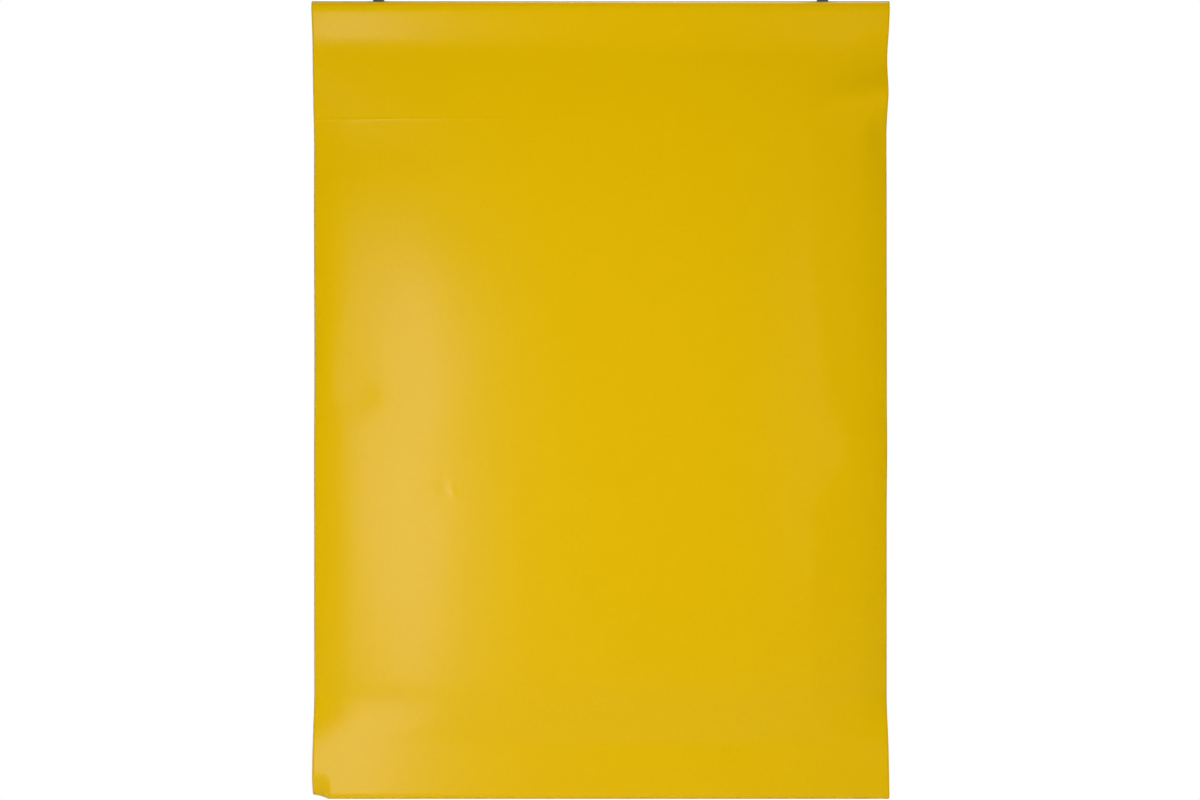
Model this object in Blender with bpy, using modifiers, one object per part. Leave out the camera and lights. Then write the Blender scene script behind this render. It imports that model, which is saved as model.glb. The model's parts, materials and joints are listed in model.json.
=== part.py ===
"""Hanging welding curtain, modelled as separate pieces.

An opaque PVC sheet has a welded sleeve along its top and another along its bottom. A steel rail in
the top sleeve hangs by two eye bolts and two snap hooks from two eye plates under a beam. A steel
tube in the bottom sleeve keeps the sheet straight.

X is the width and the front faces -Y. The origin is midway between the two eye plates, on the
plane of their upper faces, and everything but the plates' screws hangs below it.
"""

from math import acos, atan2, cos, pi, radians, sin

import bmesh
import bpy
from mathutils import Matrix, Vector

# ---------------------------------------------------------------- driving dimensions, in metres
GAP = 0.0003  # between pieces that touch

SHEET_WIDTH = 1.300
SHEET_HEIGHT = 1.800
SHEET_THICKNESS = 0.001
SLEEVE_DEPTH = 0.091  # from the sheet's upper or lower edge to the weld
WELD_WIDTH = 0.030

RAIL_DIAMETER = 0.032
RAIL_WALL = 0.002
RAIL_INSET = 0.010  # from the sheet's side edge to the rail's end
BAR_DIAMETER = 0.022
BAR_WALL = 0.002
BAR_INSET = 0.040
PLUG_FLANGE = 0.003
PLUG_DEPTH = 0.018
PLUG_CHAMFER = 0.0015

HANG_INSET = 0.150  # from the sheet's side edge to an eye bolt
BOLT_DIAMETER = 0.008
BOLT_CLEARANCE = 0.0005  # round the bolt in a drilled hole
BOLT_CHAMFER = 0.001
BOLT_END = 0.003  # below the nut
COLLAR_DIAMETER = 0.018
COLLAR_HEIGHT = 0.004
NECK_DIAMETER = 0.011
RING_INNER = 0.020  # the eye bolt's opening
RING_WIRE = 0.008
SADDLE_LENGTH = 0.024
SADDLE_WIDTH = 0.022
SADDLE_CROWN = 0.002  # thickness over the middle of the tube
SADDLE_LIP = 0.0028  # how far it reaches down the tube's sides
NUT_FLATS = 0.013
NUT_HEIGHT = 0.008

HOOK_LENGTH = 0.080
HOOK_WIDTH = 0.040
HOOK_WIRE = 0.008
GATE_DIAMETER = 0.0076
GATE_FROM_END = 0.026  # from the hook's lower end to the gate's rivet
GATE_LENGTH = 0.0332
GATE_OVERLAP = 0.0044  # how far the nose's tongue lies in the gate
TONGUE_THICKNESS = 0.0024
TONGUE_WIDTH = 0.007
SLOT_WIDTH = 0.0030
RIVET_DIAMETER = 0.003
RIVET_HEAD = 0.0056
RIVET_HEAD_HEIGHT = 0.001
SPRING_WIRE = 0.0007
SPRING_DIAMETER = 0.0037  # outside
SPRING_BORE = 0.0044
SPRING_LENGTH = 0.009
SPRING_TURNS = 5

PLATE_LENGTH = 0.060
PLATE_WIDTH = 0.036
PLATE_THICKNESS = 0.004
PLATE_CORNER = 0.006
PLATE_HOLES = 0.040  # between the two screws
EYE_INNER = 0.018
EYE_WIRE = 0.006
EYE_LEG = 0.008  # straight part of the eye under the plate
SCREW_DIAMETER = 0.005
SCREW_LENGTH = 0.035
SCREW_TIP = 0.008
SCREW_HEAD = 0.010
SCREW_HEAD_HEIGHT = 0.003

KEEPER_DIAMETER = 0.004  # screws that hold the bottom tube in its sleeve
KEEPER_INSET = 0.030  # from the bottom tube's end
KEEPER_HEAD = 0.008
KEEPER_HEAD_HEIGHT = 0.003
KEEPER_REACH = 0.006  # past the outside of the tube
WASHER_DIAMETER = 0.012
WASHER_THICKNESS = 0.001

ROUND = 32  # sides of a tube or a washer
SMALL_ROUND = 16  # sides of a screw or a rivet
WIRE_SIDES = 4  # bevel resolution of a bent wire, 12 sides
SPRING_SIDES = 1  # bevel resolution of the small coil, 6 sides
SPRING_STEPS = 10  # points in each turn of the coil
WELD_DISTANCE = 1e-6  # vertices nearer than this are one

YELLOW = (0.760, 0.468, 0.003)
ZINC = (0.62, 0.64, 0.66)
STEEL = (0.50, 0.51, 0.53)
BLACK = (0.03, 0.03, 0.03)

# ---------------------------------------------------------------- places that follow from them
RAIL_RADIUS = RAIL_DIAMETER / 2
BAR_RADIUS = BAR_DIAMETER / 2
HANG_X = SHEET_WIDTH / 2 - HANG_INSET
BOLT_HOLE = BOLT_DIAMETER / 2 + BOLT_CLEARANCE

EYE_RADIUS = (EYE_INNER + EYE_WIRE) / 2
EYE_CENTRE_Z = -PLATE_THICKNESS - EYE_LEG
HOOK_Z = EYE_CENTRE_Z - EYE_INNER / 2 + GAP + HOOK_WIRE / 2  # the hook's wire in the eye
HOOK_REACH = HOOK_LENGTH - HOOK_WIRE  # between the hook's two bearing points
HOOK_RADIUS = (HOOK_WIDTH - HOOK_WIRE) / 2
RING_Z = HOOK_Z - HOOK_REACH  # the hook's wire in the eye bolt's ring
RING_RADIUS = (RING_INNER + RING_WIRE) / 2
RING_CENTRE_Z = RING_Z + HOOK_WIRE / 2 + GAP - RING_INNER / 2
COLLAR_TOP_Z = RING_CENTRE_Z - RING_RADIUS - RING_WIRE / 2 + PLUG_FLANGE / 3
COLLAR_Z = COLLAR_TOP_Z - COLLAR_HEIGHT

SHEET_TOP_Z = COLLAR_Z - 2 * GAP - SADDLE_CROWN
SHEET_BOTTOM_Z = SHEET_TOP_Z - SHEET_HEIGHT
RAIL_Z = SHEET_TOP_Z - SHEET_THICKNESS - GAP - RAIL_RADIUS
BAR_Z = SHEET_BOTTOM_Z + SHEET_THICKNESS + GAP + BAR_RADIUS
LOWER_SADDLE_Z = RAIL_Z - RAIL_RADIUS - GAP
NUT_TOP_Z = LOWER_SADDLE_Z - SADDLE_CROWN - GAP
BOLT_END_Z = NUT_TOP_Z - NUT_HEIGHT - BOLT_END

GATE_X = HOOK_RADIUS
GATE_Z = HOOK_WIRE / 2 - HOOK_LENGTH + GATE_FROM_END  # the rivet, from the hook's pivot
GATE_BELOW = GATE_DIAMETER / 2  # the gate below its rivet
GATE_TOP = GATE_LENGTH - GATE_BELOW  # the gate above its rivet
NOSE_Z = GATE_Z + GATE_TOP + 2 * GAP  # the wire's end above the gate
KEEPER_X = SHEET_WIDTH / 2 - BAR_INSET - KEEPER_INSET

PARTS = "Hanging welding curtain"
CUTTERS = "Cutters"
SIDES = (("left", -1), ("right", 1))

# How a shape that is drawn along Z, or on the XY plane, is laid along another axis.
ALONG = {
    "X": Matrix(((0, 0, 1), (1, 0, 0), (0, 1, 0))).to_4x4(),
    "Y": Matrix.Rotation(pi / 2, 4, "X"),
    "Z": Matrix.Identity(4),
}


# ---------------------------------------------------------------- modelling helpers
def clear_scene():
    for old in list(bpy.data.objects):
        bpy.data.objects.remove(old, do_unlink=True)


def collection(name):
    made = bpy.data.collections.new(name)
    bpy.context.scene.collection.children.link(made)
    return made


def put(solid, group, parent=None, location=(0, 0, 0)):
    """Moves an object to a collection, and places it under its parent."""
    for old in list(solid.users_collection):
        old.objects.unlink(solid)
    bpy.data.collections[group].objects.link(solid)
    solid.parent = parent
    solid.location = location
    return solid


def piece(solid, name, paint, parent=None, location=(0, 0, 0)):
    """Names a finished piece, gives it its own material and puts it with the others."""
    colour, roughness, metallic = paint
    material = bpy.data.materials.new(name)
    material.use_nodes = True
    shader = material.node_tree.nodes["Principled BSDF"]
    shader.inputs["Base Color"].default_value = (*colour, 1)
    shader.inputs["Roughness"].default_value = roughness
    shader.inputs["Metallic"].default_value = metallic
    solid.name = name
    solid.data.name = name
    solid.data.materials.clear()
    solid.data.materials.append(material)
    return put(solid, PARTS, parent, location)


def pivot(name, location, parent=None):
    """An empty on a joint's axis, which the pieces that move there are parented to."""
    return put(bpy.data.objects.new(name, None), PARTS, parent, location)


def solid_from(bm, along="Z"):
    bmesh.ops.transform(bm, matrix=ALONG[along], verts=bm.verts)
    mesh = bpy.data.meshes.new("solid")
    bm.to_mesh(mesh)
    bm.free()
    mesh.shade_smooth()
    mesh.set_sharp_from_angle(angle=radians(30))
    return bpy.data.objects.new("solid", mesh)


def cylinder(radius, depth, along="Z", sides=ROUND, caps=True):
    bm = bmesh.new()
    bmesh.ops.create_cone(
        bm, cap_ends=caps, segments=sides, radius1=radius, radius2=radius, depth=depth
    )
    return solid_from(bm, along)


def box(size):
    bm = bmesh.new()
    bmesh.ops.create_cube(bm, size=1, matrix=Matrix.Diagonal((*size, 1)))
    return solid_from(bm)


def solid_from_curve(curve, along="Z"):
    """Makes a curve object a mesh with its caps welded on, and removes the curve."""
    bpy.context.scene.collection.objects.link(curve)
    drawn = curve.evaluated_get(bpy.context.evaluated_depsgraph_get())
    mesh = bpy.data.meshes.new_from_object(drawn)
    bm = bmesh.new()
    bm.from_mesh(mesh)
    bmesh.ops.remove_doubles(bm, verts=bm.verts, dist=WELD_DISTANCE)
    bpy.data.objects.remove(curve, do_unlink=True)
    return solid_from(bm, along)


def wire(points, radius, resolution=WIRE_SIDES):
    """A bent wire through the points, with closed ends."""
    curve = bpy.data.curves.new("wire", "CURVE")
    curve.dimensions = "3D"
    curve.bevel_depth = radius
    curve.bevel_resolution = resolution
    curve.use_fill_caps = True
    spline = curve.splines.new("POLY")
    spline.points.add(len(points) - 1)
    for point, place in zip(spline.points, points):
        point.co = (*place, 1)
    return solid_from_curve(bpy.data.objects.new("wire", curve))


def flat(outlines, thickness, along="Z"):
    """A flat solid from closed outlines: the first is its edge, and the others are its holes."""
    curve = bpy.data.curves.new("outline", "CURVE")
    curve.dimensions = "2D"
    curve.fill_mode = "BOTH"
    curve.extrude = thickness / 2
    for outline in outlines:
        spline = curve.splines.new("POLY")
        spline.use_cyclic_u = True
        spline.points.add(len(outline) - 1)
        for point, place in zip(spline.points, outline):
            point.co = (*place, 0, 1)
    return solid_from_curve(bpy.data.objects.new("outline", curve), along)


def turned(profile, sides=ROUND):
    """Turns a profile of (radius, height) points, listed from the top down, about Z."""
    bm = bmesh.new()
    corners = [bm.verts.new((radius, 0, height)) for radius, height in profile]
    for upper, lower in zip(corners, corners[1:]):
        bm.edges.new((upper, lower))
    mesh = bpy.data.meshes.new("profile")
    bm.to_mesh(mesh)
    bm.free()
    solid = bpy.data.objects.new("profile", mesh)
    screw = solid.modifiers.new("Turn", "SCREW")
    screw.steps = screw.render_steps = sides
    screw.use_merge_vertices = True
    screw.merge_threshold = WELD_DISTANCE
    screw.use_smooth_shade = True
    return solid


def boolean(solid, other, operation, location=(0, 0, 0), parent=None):
    """Cuts another shape out of a piece, or joins it on. It is placed from the piece's origin."""
    put(other, CUTTERS, parent or solid, location)
    other.hide_render = True
    other.display_type = "WIRE"
    modifier = solid.modifiers.new(operation.title(), "BOOLEAN")
    modifier.operation = operation
    modifier.object = other
    return solid


def arc(centre, radius, start, end, steps):
    """Points along an arc, both ends included. Angles are in radians."""
    turns = [start + (end - start) * k / steps for k in range(steps + 1)]
    return [(centre[0] + radius * cos(a), centre[1] + radius * sin(a)) for a in turns]


def circle(centre, radius, sides=ROUND):
    return arc(centre, radius, 0, 2 * pi, sides)[:-1]


def rounded_rectangle(length, width, corner):
    centres = [(1, 1), (-1, 1), (-1, -1), (1, -1)]
    points = []
    for k, (x, y) in enumerate(centres):
        centre = (x * (length / 2 - corner), y * (width / 2 - corner))
        points += arc(centre, corner, k * pi / 2, (k + 1) * pi / 2, 6)
    return points


# ---------------------------------------------------------------- the sheet
def touch_angle(centre, radius, point, side):
    """The angle on a circle where a straight line from a point outside touches it."""
    away = Vector(point) - Vector(centre)
    return atan2(away.y, away.x) + side * acos(radius / away.length)


def sleeve(tube_z, tube_radius, edge_z, up):
    """The outside and the inside of one sleeve, as points in the YZ plane.

    The front ply runs straight on from the sheet's face to the tube, round it, and back down to
    the weld, where it lies on the back of the sheet. The hollow's point is one thickness short of
    the weld. up is 1 at the top and -1 at the bottom.
    """
    half = SHEET_THICKNESS / 2
    weld_z = edge_z - up * SLEEVE_DEPTH
    point_z = weld_z + up * SHEET_THICKNESS
    inner = tube_radius + GAP
    outer = inner + SHEET_THICKNESS

    def bend(radius, front_y, back_y, from_z):
        centre = (0, up * tube_z)
        back = touch_angle(centre, radius, (back_y, up * from_z), 1)
        front = touch_angle(centre, radius, (front_y, up * from_z), -1) + 2 * pi
        points = arc(centre, radius, back, front, 20)
        return [(y, up * z) for y, z in points]

    outside = [(3 * half, weld_z), *bend(outer, -half, 3 * half, weld_z), (-half, weld_z)]
    inside = [(half, point_z), *bend(inner, half, half, point_z)]
    seam = [(half, weld_z - up * WELD_WIDTH), (3 * half, weld_z - up * WELD_WIDTH)]
    return outside, inside, seam


def curtain_sheet(parent):
    top, top_hollow, top_seam = sleeve(RAIL_Z, RAIL_RADIUS, SHEET_TOP_Z, 1)
    low, low_hollow, low_seam = sleeve(BAR_Z, BAR_RADIUS, SHEET_BOTTOM_Z, -1)
    edge = [*top, *reversed(low), *reversed(low_seam), *top_seam]
    below = parent.location.z
    outlines = [[(y, z - below) for y, z in line] for line in (edge, top_hollow, low_hollow)]
    sheet = flat(outlines, SHEET_WIDTH, "X")
    piece(sheet, "curtain_sheet", (YELLOW, 0.38, 0), parent)
    for _, side in SIDES:
        drill = cylinder(BOLT_HOLE, RAIL_RADIUS, sides=SMALL_ROUND)
        top_z = SHEET_TOP_Z + GAP - RAIL_RADIUS / 2 - below
        boolean(sheet, drill, "DIFFERENCE", (side * HANG_X, 0, top_z))
        punch = cylinder(KEEPER_DIAMETER / 2 + GAP, BAR_RADIUS, "Y", SMALL_ROUND)
        back_y = BAR_RADIUS * 3 / 2 - GAP - SHEET_THICKNESS
        boolean(sheet, punch, "DIFFERENCE", (side * KEEPER_X, back_y, BAR_Z - below))
    return sheet


# ---------------------------------------------------------------- the rail and the bottom tube
def pipe(radius, wall, length):
    tube = cylinder(radius, length, "X", caps=False)
    shell = tube.modifiers.new("Wall", "SOLIDIFY")
    shell.thickness = wall
    shell.offset = -1
    return tube


def end_plugs(name, parent, radius, wall, half_length, z):
    bore = radius - wall - GAP
    profile = [
        (0, GAP + PLUG_FLANGE),
        (radius - PLUG_CHAMFER, GAP + PLUG_FLANGE),
        (radius, GAP + PLUG_FLANGE - PLUG_CHAMFER),
        (radius, GAP),
        (bore, GAP),
        (bore, PLUG_CHAMFER - PLUG_DEPTH),
        (bore - PLUG_CHAMFER, -PLUG_DEPTH),
        (0, -PLUG_DEPTH),
    ]
    for label, side in SIDES:
        plug = turned(profile)
        plug.rotation_euler = (0, side * pi / 2, 0)
        place = (side * half_length, 0, z - parent.location.z)
        piece(plug, f"{label}_{name}", (BLACK, 0.6, 0), parent, place)


def top_rail(parent):
    length = SHEET_WIDTH - 2 * RAIL_INSET
    rail = pipe(RAIL_RADIUS, RAIL_WALL, length)
    piece(rail, "top_rail", (ZINC, 0.4, 1), parent, (0, 0, RAIL_Z - parent.location.z))
    for _, side in SIDES:
        drill = cylinder(BOLT_HOLE, 3 * RAIL_RADIUS, sides=SMALL_ROUND)
        boolean(rail, drill, "DIFFERENCE", (side * HANG_X, 0, 0))
    end_plugs("rail_plug", parent, RAIL_RADIUS, RAIL_WALL, length / 2, RAIL_Z)


def bottom_tube(parent):
    length = SHEET_WIDTH - 2 * BAR_INSET
    bar = pipe(BAR_RADIUS, BAR_WALL, length)
    piece(bar, "bottom_tube", (ZINC, 0.4, 1), parent, (0, 0, BAR_Z - parent.location.z))
    for _, side in SIDES:
        drill = cylinder(KEEPER_DIAMETER / 2 + GAP, BAR_RADIUS, "Y", SMALL_ROUND)
        boolean(bar, drill, "DIFFERENCE", (side * KEEPER_X, BAR_RADIUS, 0))
    end_plugs("bottom_plug", parent, BAR_RADIUS, BAR_WALL, length / 2, BAR_Z)


def keeper_screw(label, side, parent):
    """A pan head screw and its washer, through the sleeve's back and the bottom tube's wall."""
    surface = BAR_RADIUS + GAP + SHEET_THICKNESS + GAP
    head = surface + WASHER_THICKNESS + GAP
    radius = KEEPER_DIAMETER / 2
    end = BAR_RADIUS - KEEPER_REACH
    profile = [
        (0, head + KEEPER_HEAD_HEIGHT),
        (KEEPER_HEAD * 0.35, head + KEEPER_HEAD_HEIGHT),
        (KEEPER_HEAD / 2, head + KEEPER_HEAD_HEIGHT / 2),
        (KEEPER_HEAD / 2, head),
        (radius, head),
        (radius, end + radius / 2),
        (radius / 2, end),
        (0, end),
    ]
    place = (side * KEEPER_X, 0, BAR_Z - parent.location.z)
    screw = turned(profile, SMALL_ROUND)
    screw.rotation_euler = (-pi / 2, 0, 0)
    piece(screw, f"{label}_retaining_screw", (ZINC, 0.35, 1), parent, place)
    rings = [circle((0, 0), WASHER_DIAMETER / 2), circle((0, 0), radius + GAP, SMALL_ROUND)]
    washer = flat(rings, WASHER_THICKNESS, "Y")
    middle = Vector((0, surface + WASHER_THICKNESS / 2, 0))
    piece(washer, f"{label}_washer", (ZINC, 0.35, 1), parent, Vector(place) + middle)


# ---------------------------------------------------------------- what hangs the rail
def saddle(name, parent, x, crown_z, tube_radius, up):
    """A block with a hollow that fits a round tube. Its hollow's crown is at crown_z."""
    half = SADDLE_WIDTH / 2
    spread = acos((tube_radius - SADDLE_LIP) / tube_radius)
    hollow = arc((0, -tube_radius), tube_radius, pi / 2 - spread, pi / 2 + spread, 12)
    edge = [(half, SADDLE_CROWN), (half, -SADDLE_LIP), *hollow, (-half, -SADDLE_LIP)]
    edge = [*edge, (-half, SADDLE_CROWN)]
    block = flat([[(y, up * z) for y, z in edge]], SADDLE_LENGTH, "X")
    piece(block, name, (BLACK, 0.55, 0), parent, (x, 0, crown_z - parent.location.z))
    drill = cylinder(BOLT_HOLE, 4 * SADDLE_CROWN + 2 * SADDLE_LIP, sides=SMALL_ROUND)
    boolean(block, drill, "DIFFERENCE")


def eye_bolt(label, side, parent):
    """A ring on a shank with a collar. The ring's hole runs along X, for the hook's wire."""
    radius = BOLT_DIAMETER / 2
    top = RING_CENTRE_Z - RING_RADIUS
    profile = [
        (0, top),
        (NECK_DIAMETER / 2, top),
        (COLLAR_DIAMETER / 2, COLLAR_TOP_Z),
        (COLLAR_DIAMETER / 2, COLLAR_Z),
        (radius, COLLAR_Z),
        (radius, BOLT_END_Z + BOLT_CHAMFER),
        (radius - BOLT_CHAMFER, BOLT_END_Z),
        (0, BOLT_END_Z),
    ]
    bolt = turned([(r, z - RING_Z) for r, z in profile], SMALL_ROUND)
    place = (side * HANG_X, 0, RING_Z - parent.location.z)
    piece(bolt, f"{label}_eye_bolt", (ZINC, 0.35, 1), parent, place)
    bpy.ops.mesh.primitive_torus_add(
        major_radius=RING_RADIUS,
        minor_radius=RING_WIRE / 2,
        major_segments=28,
        minor_segments=12,
        rotation=(0, pi / 2, 0),
    )
    ring = bpy.context.object
    boolean(bolt, ring, "UNION", (0, 0, RING_CENTRE_Z - RING_Z))


def lock_nut(label, side, parent):
    corners = circle((0, 0), NUT_FLATS / 2 / cos(pi / 6), 6)
    bore = circle((0, 0), BOLT_DIAMETER / 2 + GAP, SMALL_ROUND)
    nut = flat([corners, bore], NUT_HEIGHT)
    place = (side * HANG_X, 0, NUT_TOP_Z - NUT_HEIGHT / 2 - parent.location.z)
    piece(nut, f"{label}_lock_nut", (ZINC, 0.35, 1), parent, place)


def hanger(label, side, parent):
    x = side * HANG_X
    eye_bolt(label, side, parent)
    fit = RAIL_RADIUS + SHEET_THICKNESS + 2 * GAP
    saddle(f"{label}_upper_saddle", parent, x, SHEET_TOP_Z + GAP, fit, 1)
    saddle(f"{label}_lower_saddle", parent, x, LOWER_SADDLE_Z, RAIL_RADIUS + GAP, -1)
    lock_nut(label, side, parent)


# ---------------------------------------------------------------- the snap hooks
def snap_hook(label, side, parent):
    """A bent wire link. Its opening is on the outer side, between its nose and its heel."""
    upper = (0, -HOOK_RADIUS)
    lower = (0, HOOK_RADIUS - HOOK_REACH)
    path = [(GATE_X, NOSE_Z), *arc(upper, HOOK_RADIUS, 0, pi, 20)]
    path += arc(lower, HOOK_RADIUS, pi, 2 * pi, 20)
    hook = wire([(side * x, 0, z) for x, z in path], HOOK_WIRE / 2)
    piece(hook, f"{label}_snap_hook", (ZINC, 0.3, 1), parent)

    half = TONGUE_WIDTH / 2
    heel_z = lower[1] - HOOK_WIRE / 4
    heel = [(half, heel_z - GATE_Z), *arc((0, 0), half, 0, pi, 10), (-half, heel_z - GATE_Z)]
    hole = circle((0, 0), RIVET_DIAMETER / 2 + GAP, SMALL_ROUND)
    tongue = flat([heel, hole], TONGUE_THICKNESS, "Y")
    boolean(hook, tongue, "UNION", (side * GATE_X, 0, GATE_Z))

    low = GATE_Z + GATE_TOP - GATE_OVERLAP
    high = NOSE_Z + HOOK_WIRE / 4
    inner = -TONGUE_WIDTH / 6
    nose = box((half - inner, TONGUE_THICKNESS, high - low))
    nose_x = side * (GATE_X + (half + inner) / 2)
    boolean(hook, nose, "UNION", (nose_x, 0, (high + low) / 2))


def hook_gate(label, side, parent):
    """A rod that is slotted at both ends: over the hook's heel, and round its nose's tongue."""
    radius = GATE_DIAMETER / 2
    gate = cylinder(radius, GATE_LENGTH, sides=20)
    middle = (GATE_TOP - GATE_BELOW) / 2
    for vertex in gate.data.vertices:
        vertex.co.z += middle
    piece(gate, f"{label}_hook_gate", (ZINC, 0.3, 1), parent)

    room = TONGUE_WIDTH / 2 + 2 * GAP  # above the rivet, for the heel's round end
    depth = room + 2 * radius
    fork = box((4 * radius, SLOT_WIDTH, depth))
    boolean(gate, fork, "DIFFERENCE", (0, 0, room - depth / 2))

    floor = GATE_TOP - GATE_OVERLAP - 2 * GAP
    wall = -TONGUE_WIDTH / 6 - GAP
    notch = box((2 * radius, SLOT_WIDTH, GATE_LENGTH))
    boolean(gate, notch, "DIFFERENCE", (side * (wall + radius), 0, floor + GATE_LENGTH / 2))

    bore = cylinder(SPRING_BORE / 2, SPRING_LENGTH + 4 * GAP, sides=SMALL_ROUND)
    boolean(gate, bore, "DIFFERENCE", (0, 0, room + SPRING_LENGTH / 2))

    hole = cylinder(RIVET_DIAMETER / 2 + GAP, 4 * radius, "Y", SMALL_ROUND)
    boolean(gate, hole, "DIFFERENCE")


def gate_rivet(label, side, parent):
    half = GATE_DIAMETER / 2 + GAP
    head, shank = RIVET_HEAD / 2, RIVET_DIAMETER / 2
    end = half + RIVET_HEAD_HEIGHT
    profile = [(0, end), (head * 0.7, end), (head, half + RIVET_HEAD_HEIGHT / 3), (head, half)]
    profile += [(shank, half)]
    lower = [(radius, -height) for radius, height in reversed(profile)]
    rivet = turned([*profile, *lower], SMALL_ROUND)
    rivet.rotation_euler = (pi / 2, 0, 0)
    piece(rivet, f"{label}_gate_rivet", (STEEL, 0.35, 1), parent, (side * GATE_X, 0, GATE_Z))


def gate_spring(label, parent):
    """The small coil in the gate's bore, which pushes on the hook's heel."""
    radius = (SPRING_DIAMETER - SPRING_WIRE) / 2
    start = TONGUE_WIDTH / 2 + 2 * GAP + SPRING_WIRE / 2
    rise = SPRING_LENGTH - SPRING_WIRE
    steps = SPRING_TURNS * SPRING_STEPS
    coil = []
    for k in range(steps + 1):
        turn = 2 * pi * k / SPRING_STEPS
        coil.append((radius * cos(turn), radius * sin(turn), start + rise * k / steps))
    spring = wire(coil, SPRING_WIRE / 2, SPRING_SIDES)
    piece(spring, f"{label}_gate_spring", (STEEL, 0.3, 1), parent)


# ---------------------------------------------------------------- what fixes it to the beam
def eye_plate(label, side):
    length, width = PLATE_LENGTH, PLATE_WIDTH
    hole = SCREW_DIAMETER / 2 + GAP
    outlines = [rounded_rectangle(length, width, PLATE_CORNER)]
    outlines += [circle((x * PLATE_HOLES / 2, 0), hole, SMALL_ROUND) for x in (-1, 1)]
    plate = flat(outlines, PLATE_THICKNESS)
    place = (side * HANG_X, 0, -PLATE_THICKNESS / 2)
    piece(plate, f"{label}_eye_plate", (ZINC, 0.4, 1), None, place)
    leg = [(-EYE_RADIUS, -PLATE_THICKNESS / 2)]
    bend = arc((0, EYE_CENTRE_Z), EYE_RADIUS, pi, 2 * pi, 20)
    path = [*leg, *bend, (EYE_RADIUS, -PLATE_THICKNESS / 2)]
    eye = wire([(0, y, z) for y, z in path], EYE_WIRE / 2)
    boolean(plate, eye, "UNION", (0, 0, PLATE_THICKNESS / 2))


def plate_screw(name, x):
    """A pan head screw that goes up through the plate and into the beam."""
    head = -PLATE_THICKNESS - GAP
    radius = SCREW_DIAMETER / 2
    profile = [
        (0, SCREW_LENGTH),
        (radius, SCREW_LENGTH - SCREW_TIP),
        (radius, head),
        (SCREW_HEAD / 2, head),
        (SCREW_HEAD / 2, head - SCREW_HEAD_HEIGHT / 2),
        (SCREW_HEAD * 0.35, head - SCREW_HEAD_HEIGHT),
        (0, head - SCREW_HEAD_HEIGHT),
    ]
    piece(turned(profile, SMALL_ROUND), name, (ZINC, 0.35, 1), None, (x, 0, 0))


# ---------------------------------------------------------------- the whole curtain
def main():
    clear_scene()
    collection(PARTS)
    collection(CUTTERS)

    curtain = pivot("curtain_pivot", (0, 0, RING_Z))
    curtain_sheet(curtain)
    top_rail(curtain)
    bottom_tube(curtain)

    for label, side in SIDES:
        x = side * HANG_X
        eye_plate(label, side)
        plate_screw(f"{label}_plate_screw_1", x - PLATE_HOLES / 2)
        plate_screw(f"{label}_plate_screw_2", x + PLATE_HOLES / 2)
        hook = pivot(f"{label}_hook_pivot", (x, 0, HOOK_Z))
        snap_hook(label, side, hook)
        gate_rivet(label, side, hook)
        gate = pivot(f"{label}_gate_pivot", (side * GATE_X, 0, GATE_Z), hook)
        hook_gate(label, side, gate)
        gate_spring(label, gate)
        hanger(label, side, curtain)
        keeper_screw(label, side, curtain)


main()
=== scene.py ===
"""Finished look of a hanging welding curtain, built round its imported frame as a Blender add-on.

The sheet is swept along its section, round the rail and the bottom tube, and a Geometry Nodes tree
gives it the set that a heavy PVC sheet keeps. The hardware is bent wire, turned and pressed steel.
"""

import json
from math import atan2, cos, hypot, pi, radians, sin, tan

import bmesh
import bpy
from bpy.props import FloatProperty, FloatVectorProperty, IntProperty, PointerProperty
from mathutils import Matrix, Vector


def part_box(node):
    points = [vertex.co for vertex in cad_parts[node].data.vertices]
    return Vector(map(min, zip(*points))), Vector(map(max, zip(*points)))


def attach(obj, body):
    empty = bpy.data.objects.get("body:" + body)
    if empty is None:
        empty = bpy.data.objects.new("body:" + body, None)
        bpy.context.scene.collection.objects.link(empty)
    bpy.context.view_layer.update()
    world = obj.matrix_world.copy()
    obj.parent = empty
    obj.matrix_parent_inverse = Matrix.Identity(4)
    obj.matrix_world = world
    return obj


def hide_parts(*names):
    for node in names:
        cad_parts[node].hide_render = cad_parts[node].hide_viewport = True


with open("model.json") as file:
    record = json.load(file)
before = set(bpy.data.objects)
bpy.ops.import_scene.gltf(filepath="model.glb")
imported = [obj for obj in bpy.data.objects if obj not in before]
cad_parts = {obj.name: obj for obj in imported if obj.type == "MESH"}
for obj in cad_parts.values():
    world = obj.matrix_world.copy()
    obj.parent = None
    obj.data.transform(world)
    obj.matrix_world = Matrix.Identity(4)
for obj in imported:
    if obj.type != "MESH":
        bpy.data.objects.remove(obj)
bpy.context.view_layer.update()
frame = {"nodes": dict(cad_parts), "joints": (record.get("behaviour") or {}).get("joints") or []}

bl_info = {
    "name": "Hanging Welding Curtain",
    "version": (1, 0, 0),
    "blender": (4, 5, 0),
    "location": "View3D > Sidebar > Curtain",
    "description": "Builds the finished look of a hanging welding curtain round its frame",
    "category": "Add Mesh",
}

JOINTS = {joint["name"]: Vector(joint["pos_m"]) for joint in frame["joints"]}
SIDES = (("left", -1), ("right", 1))

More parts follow.
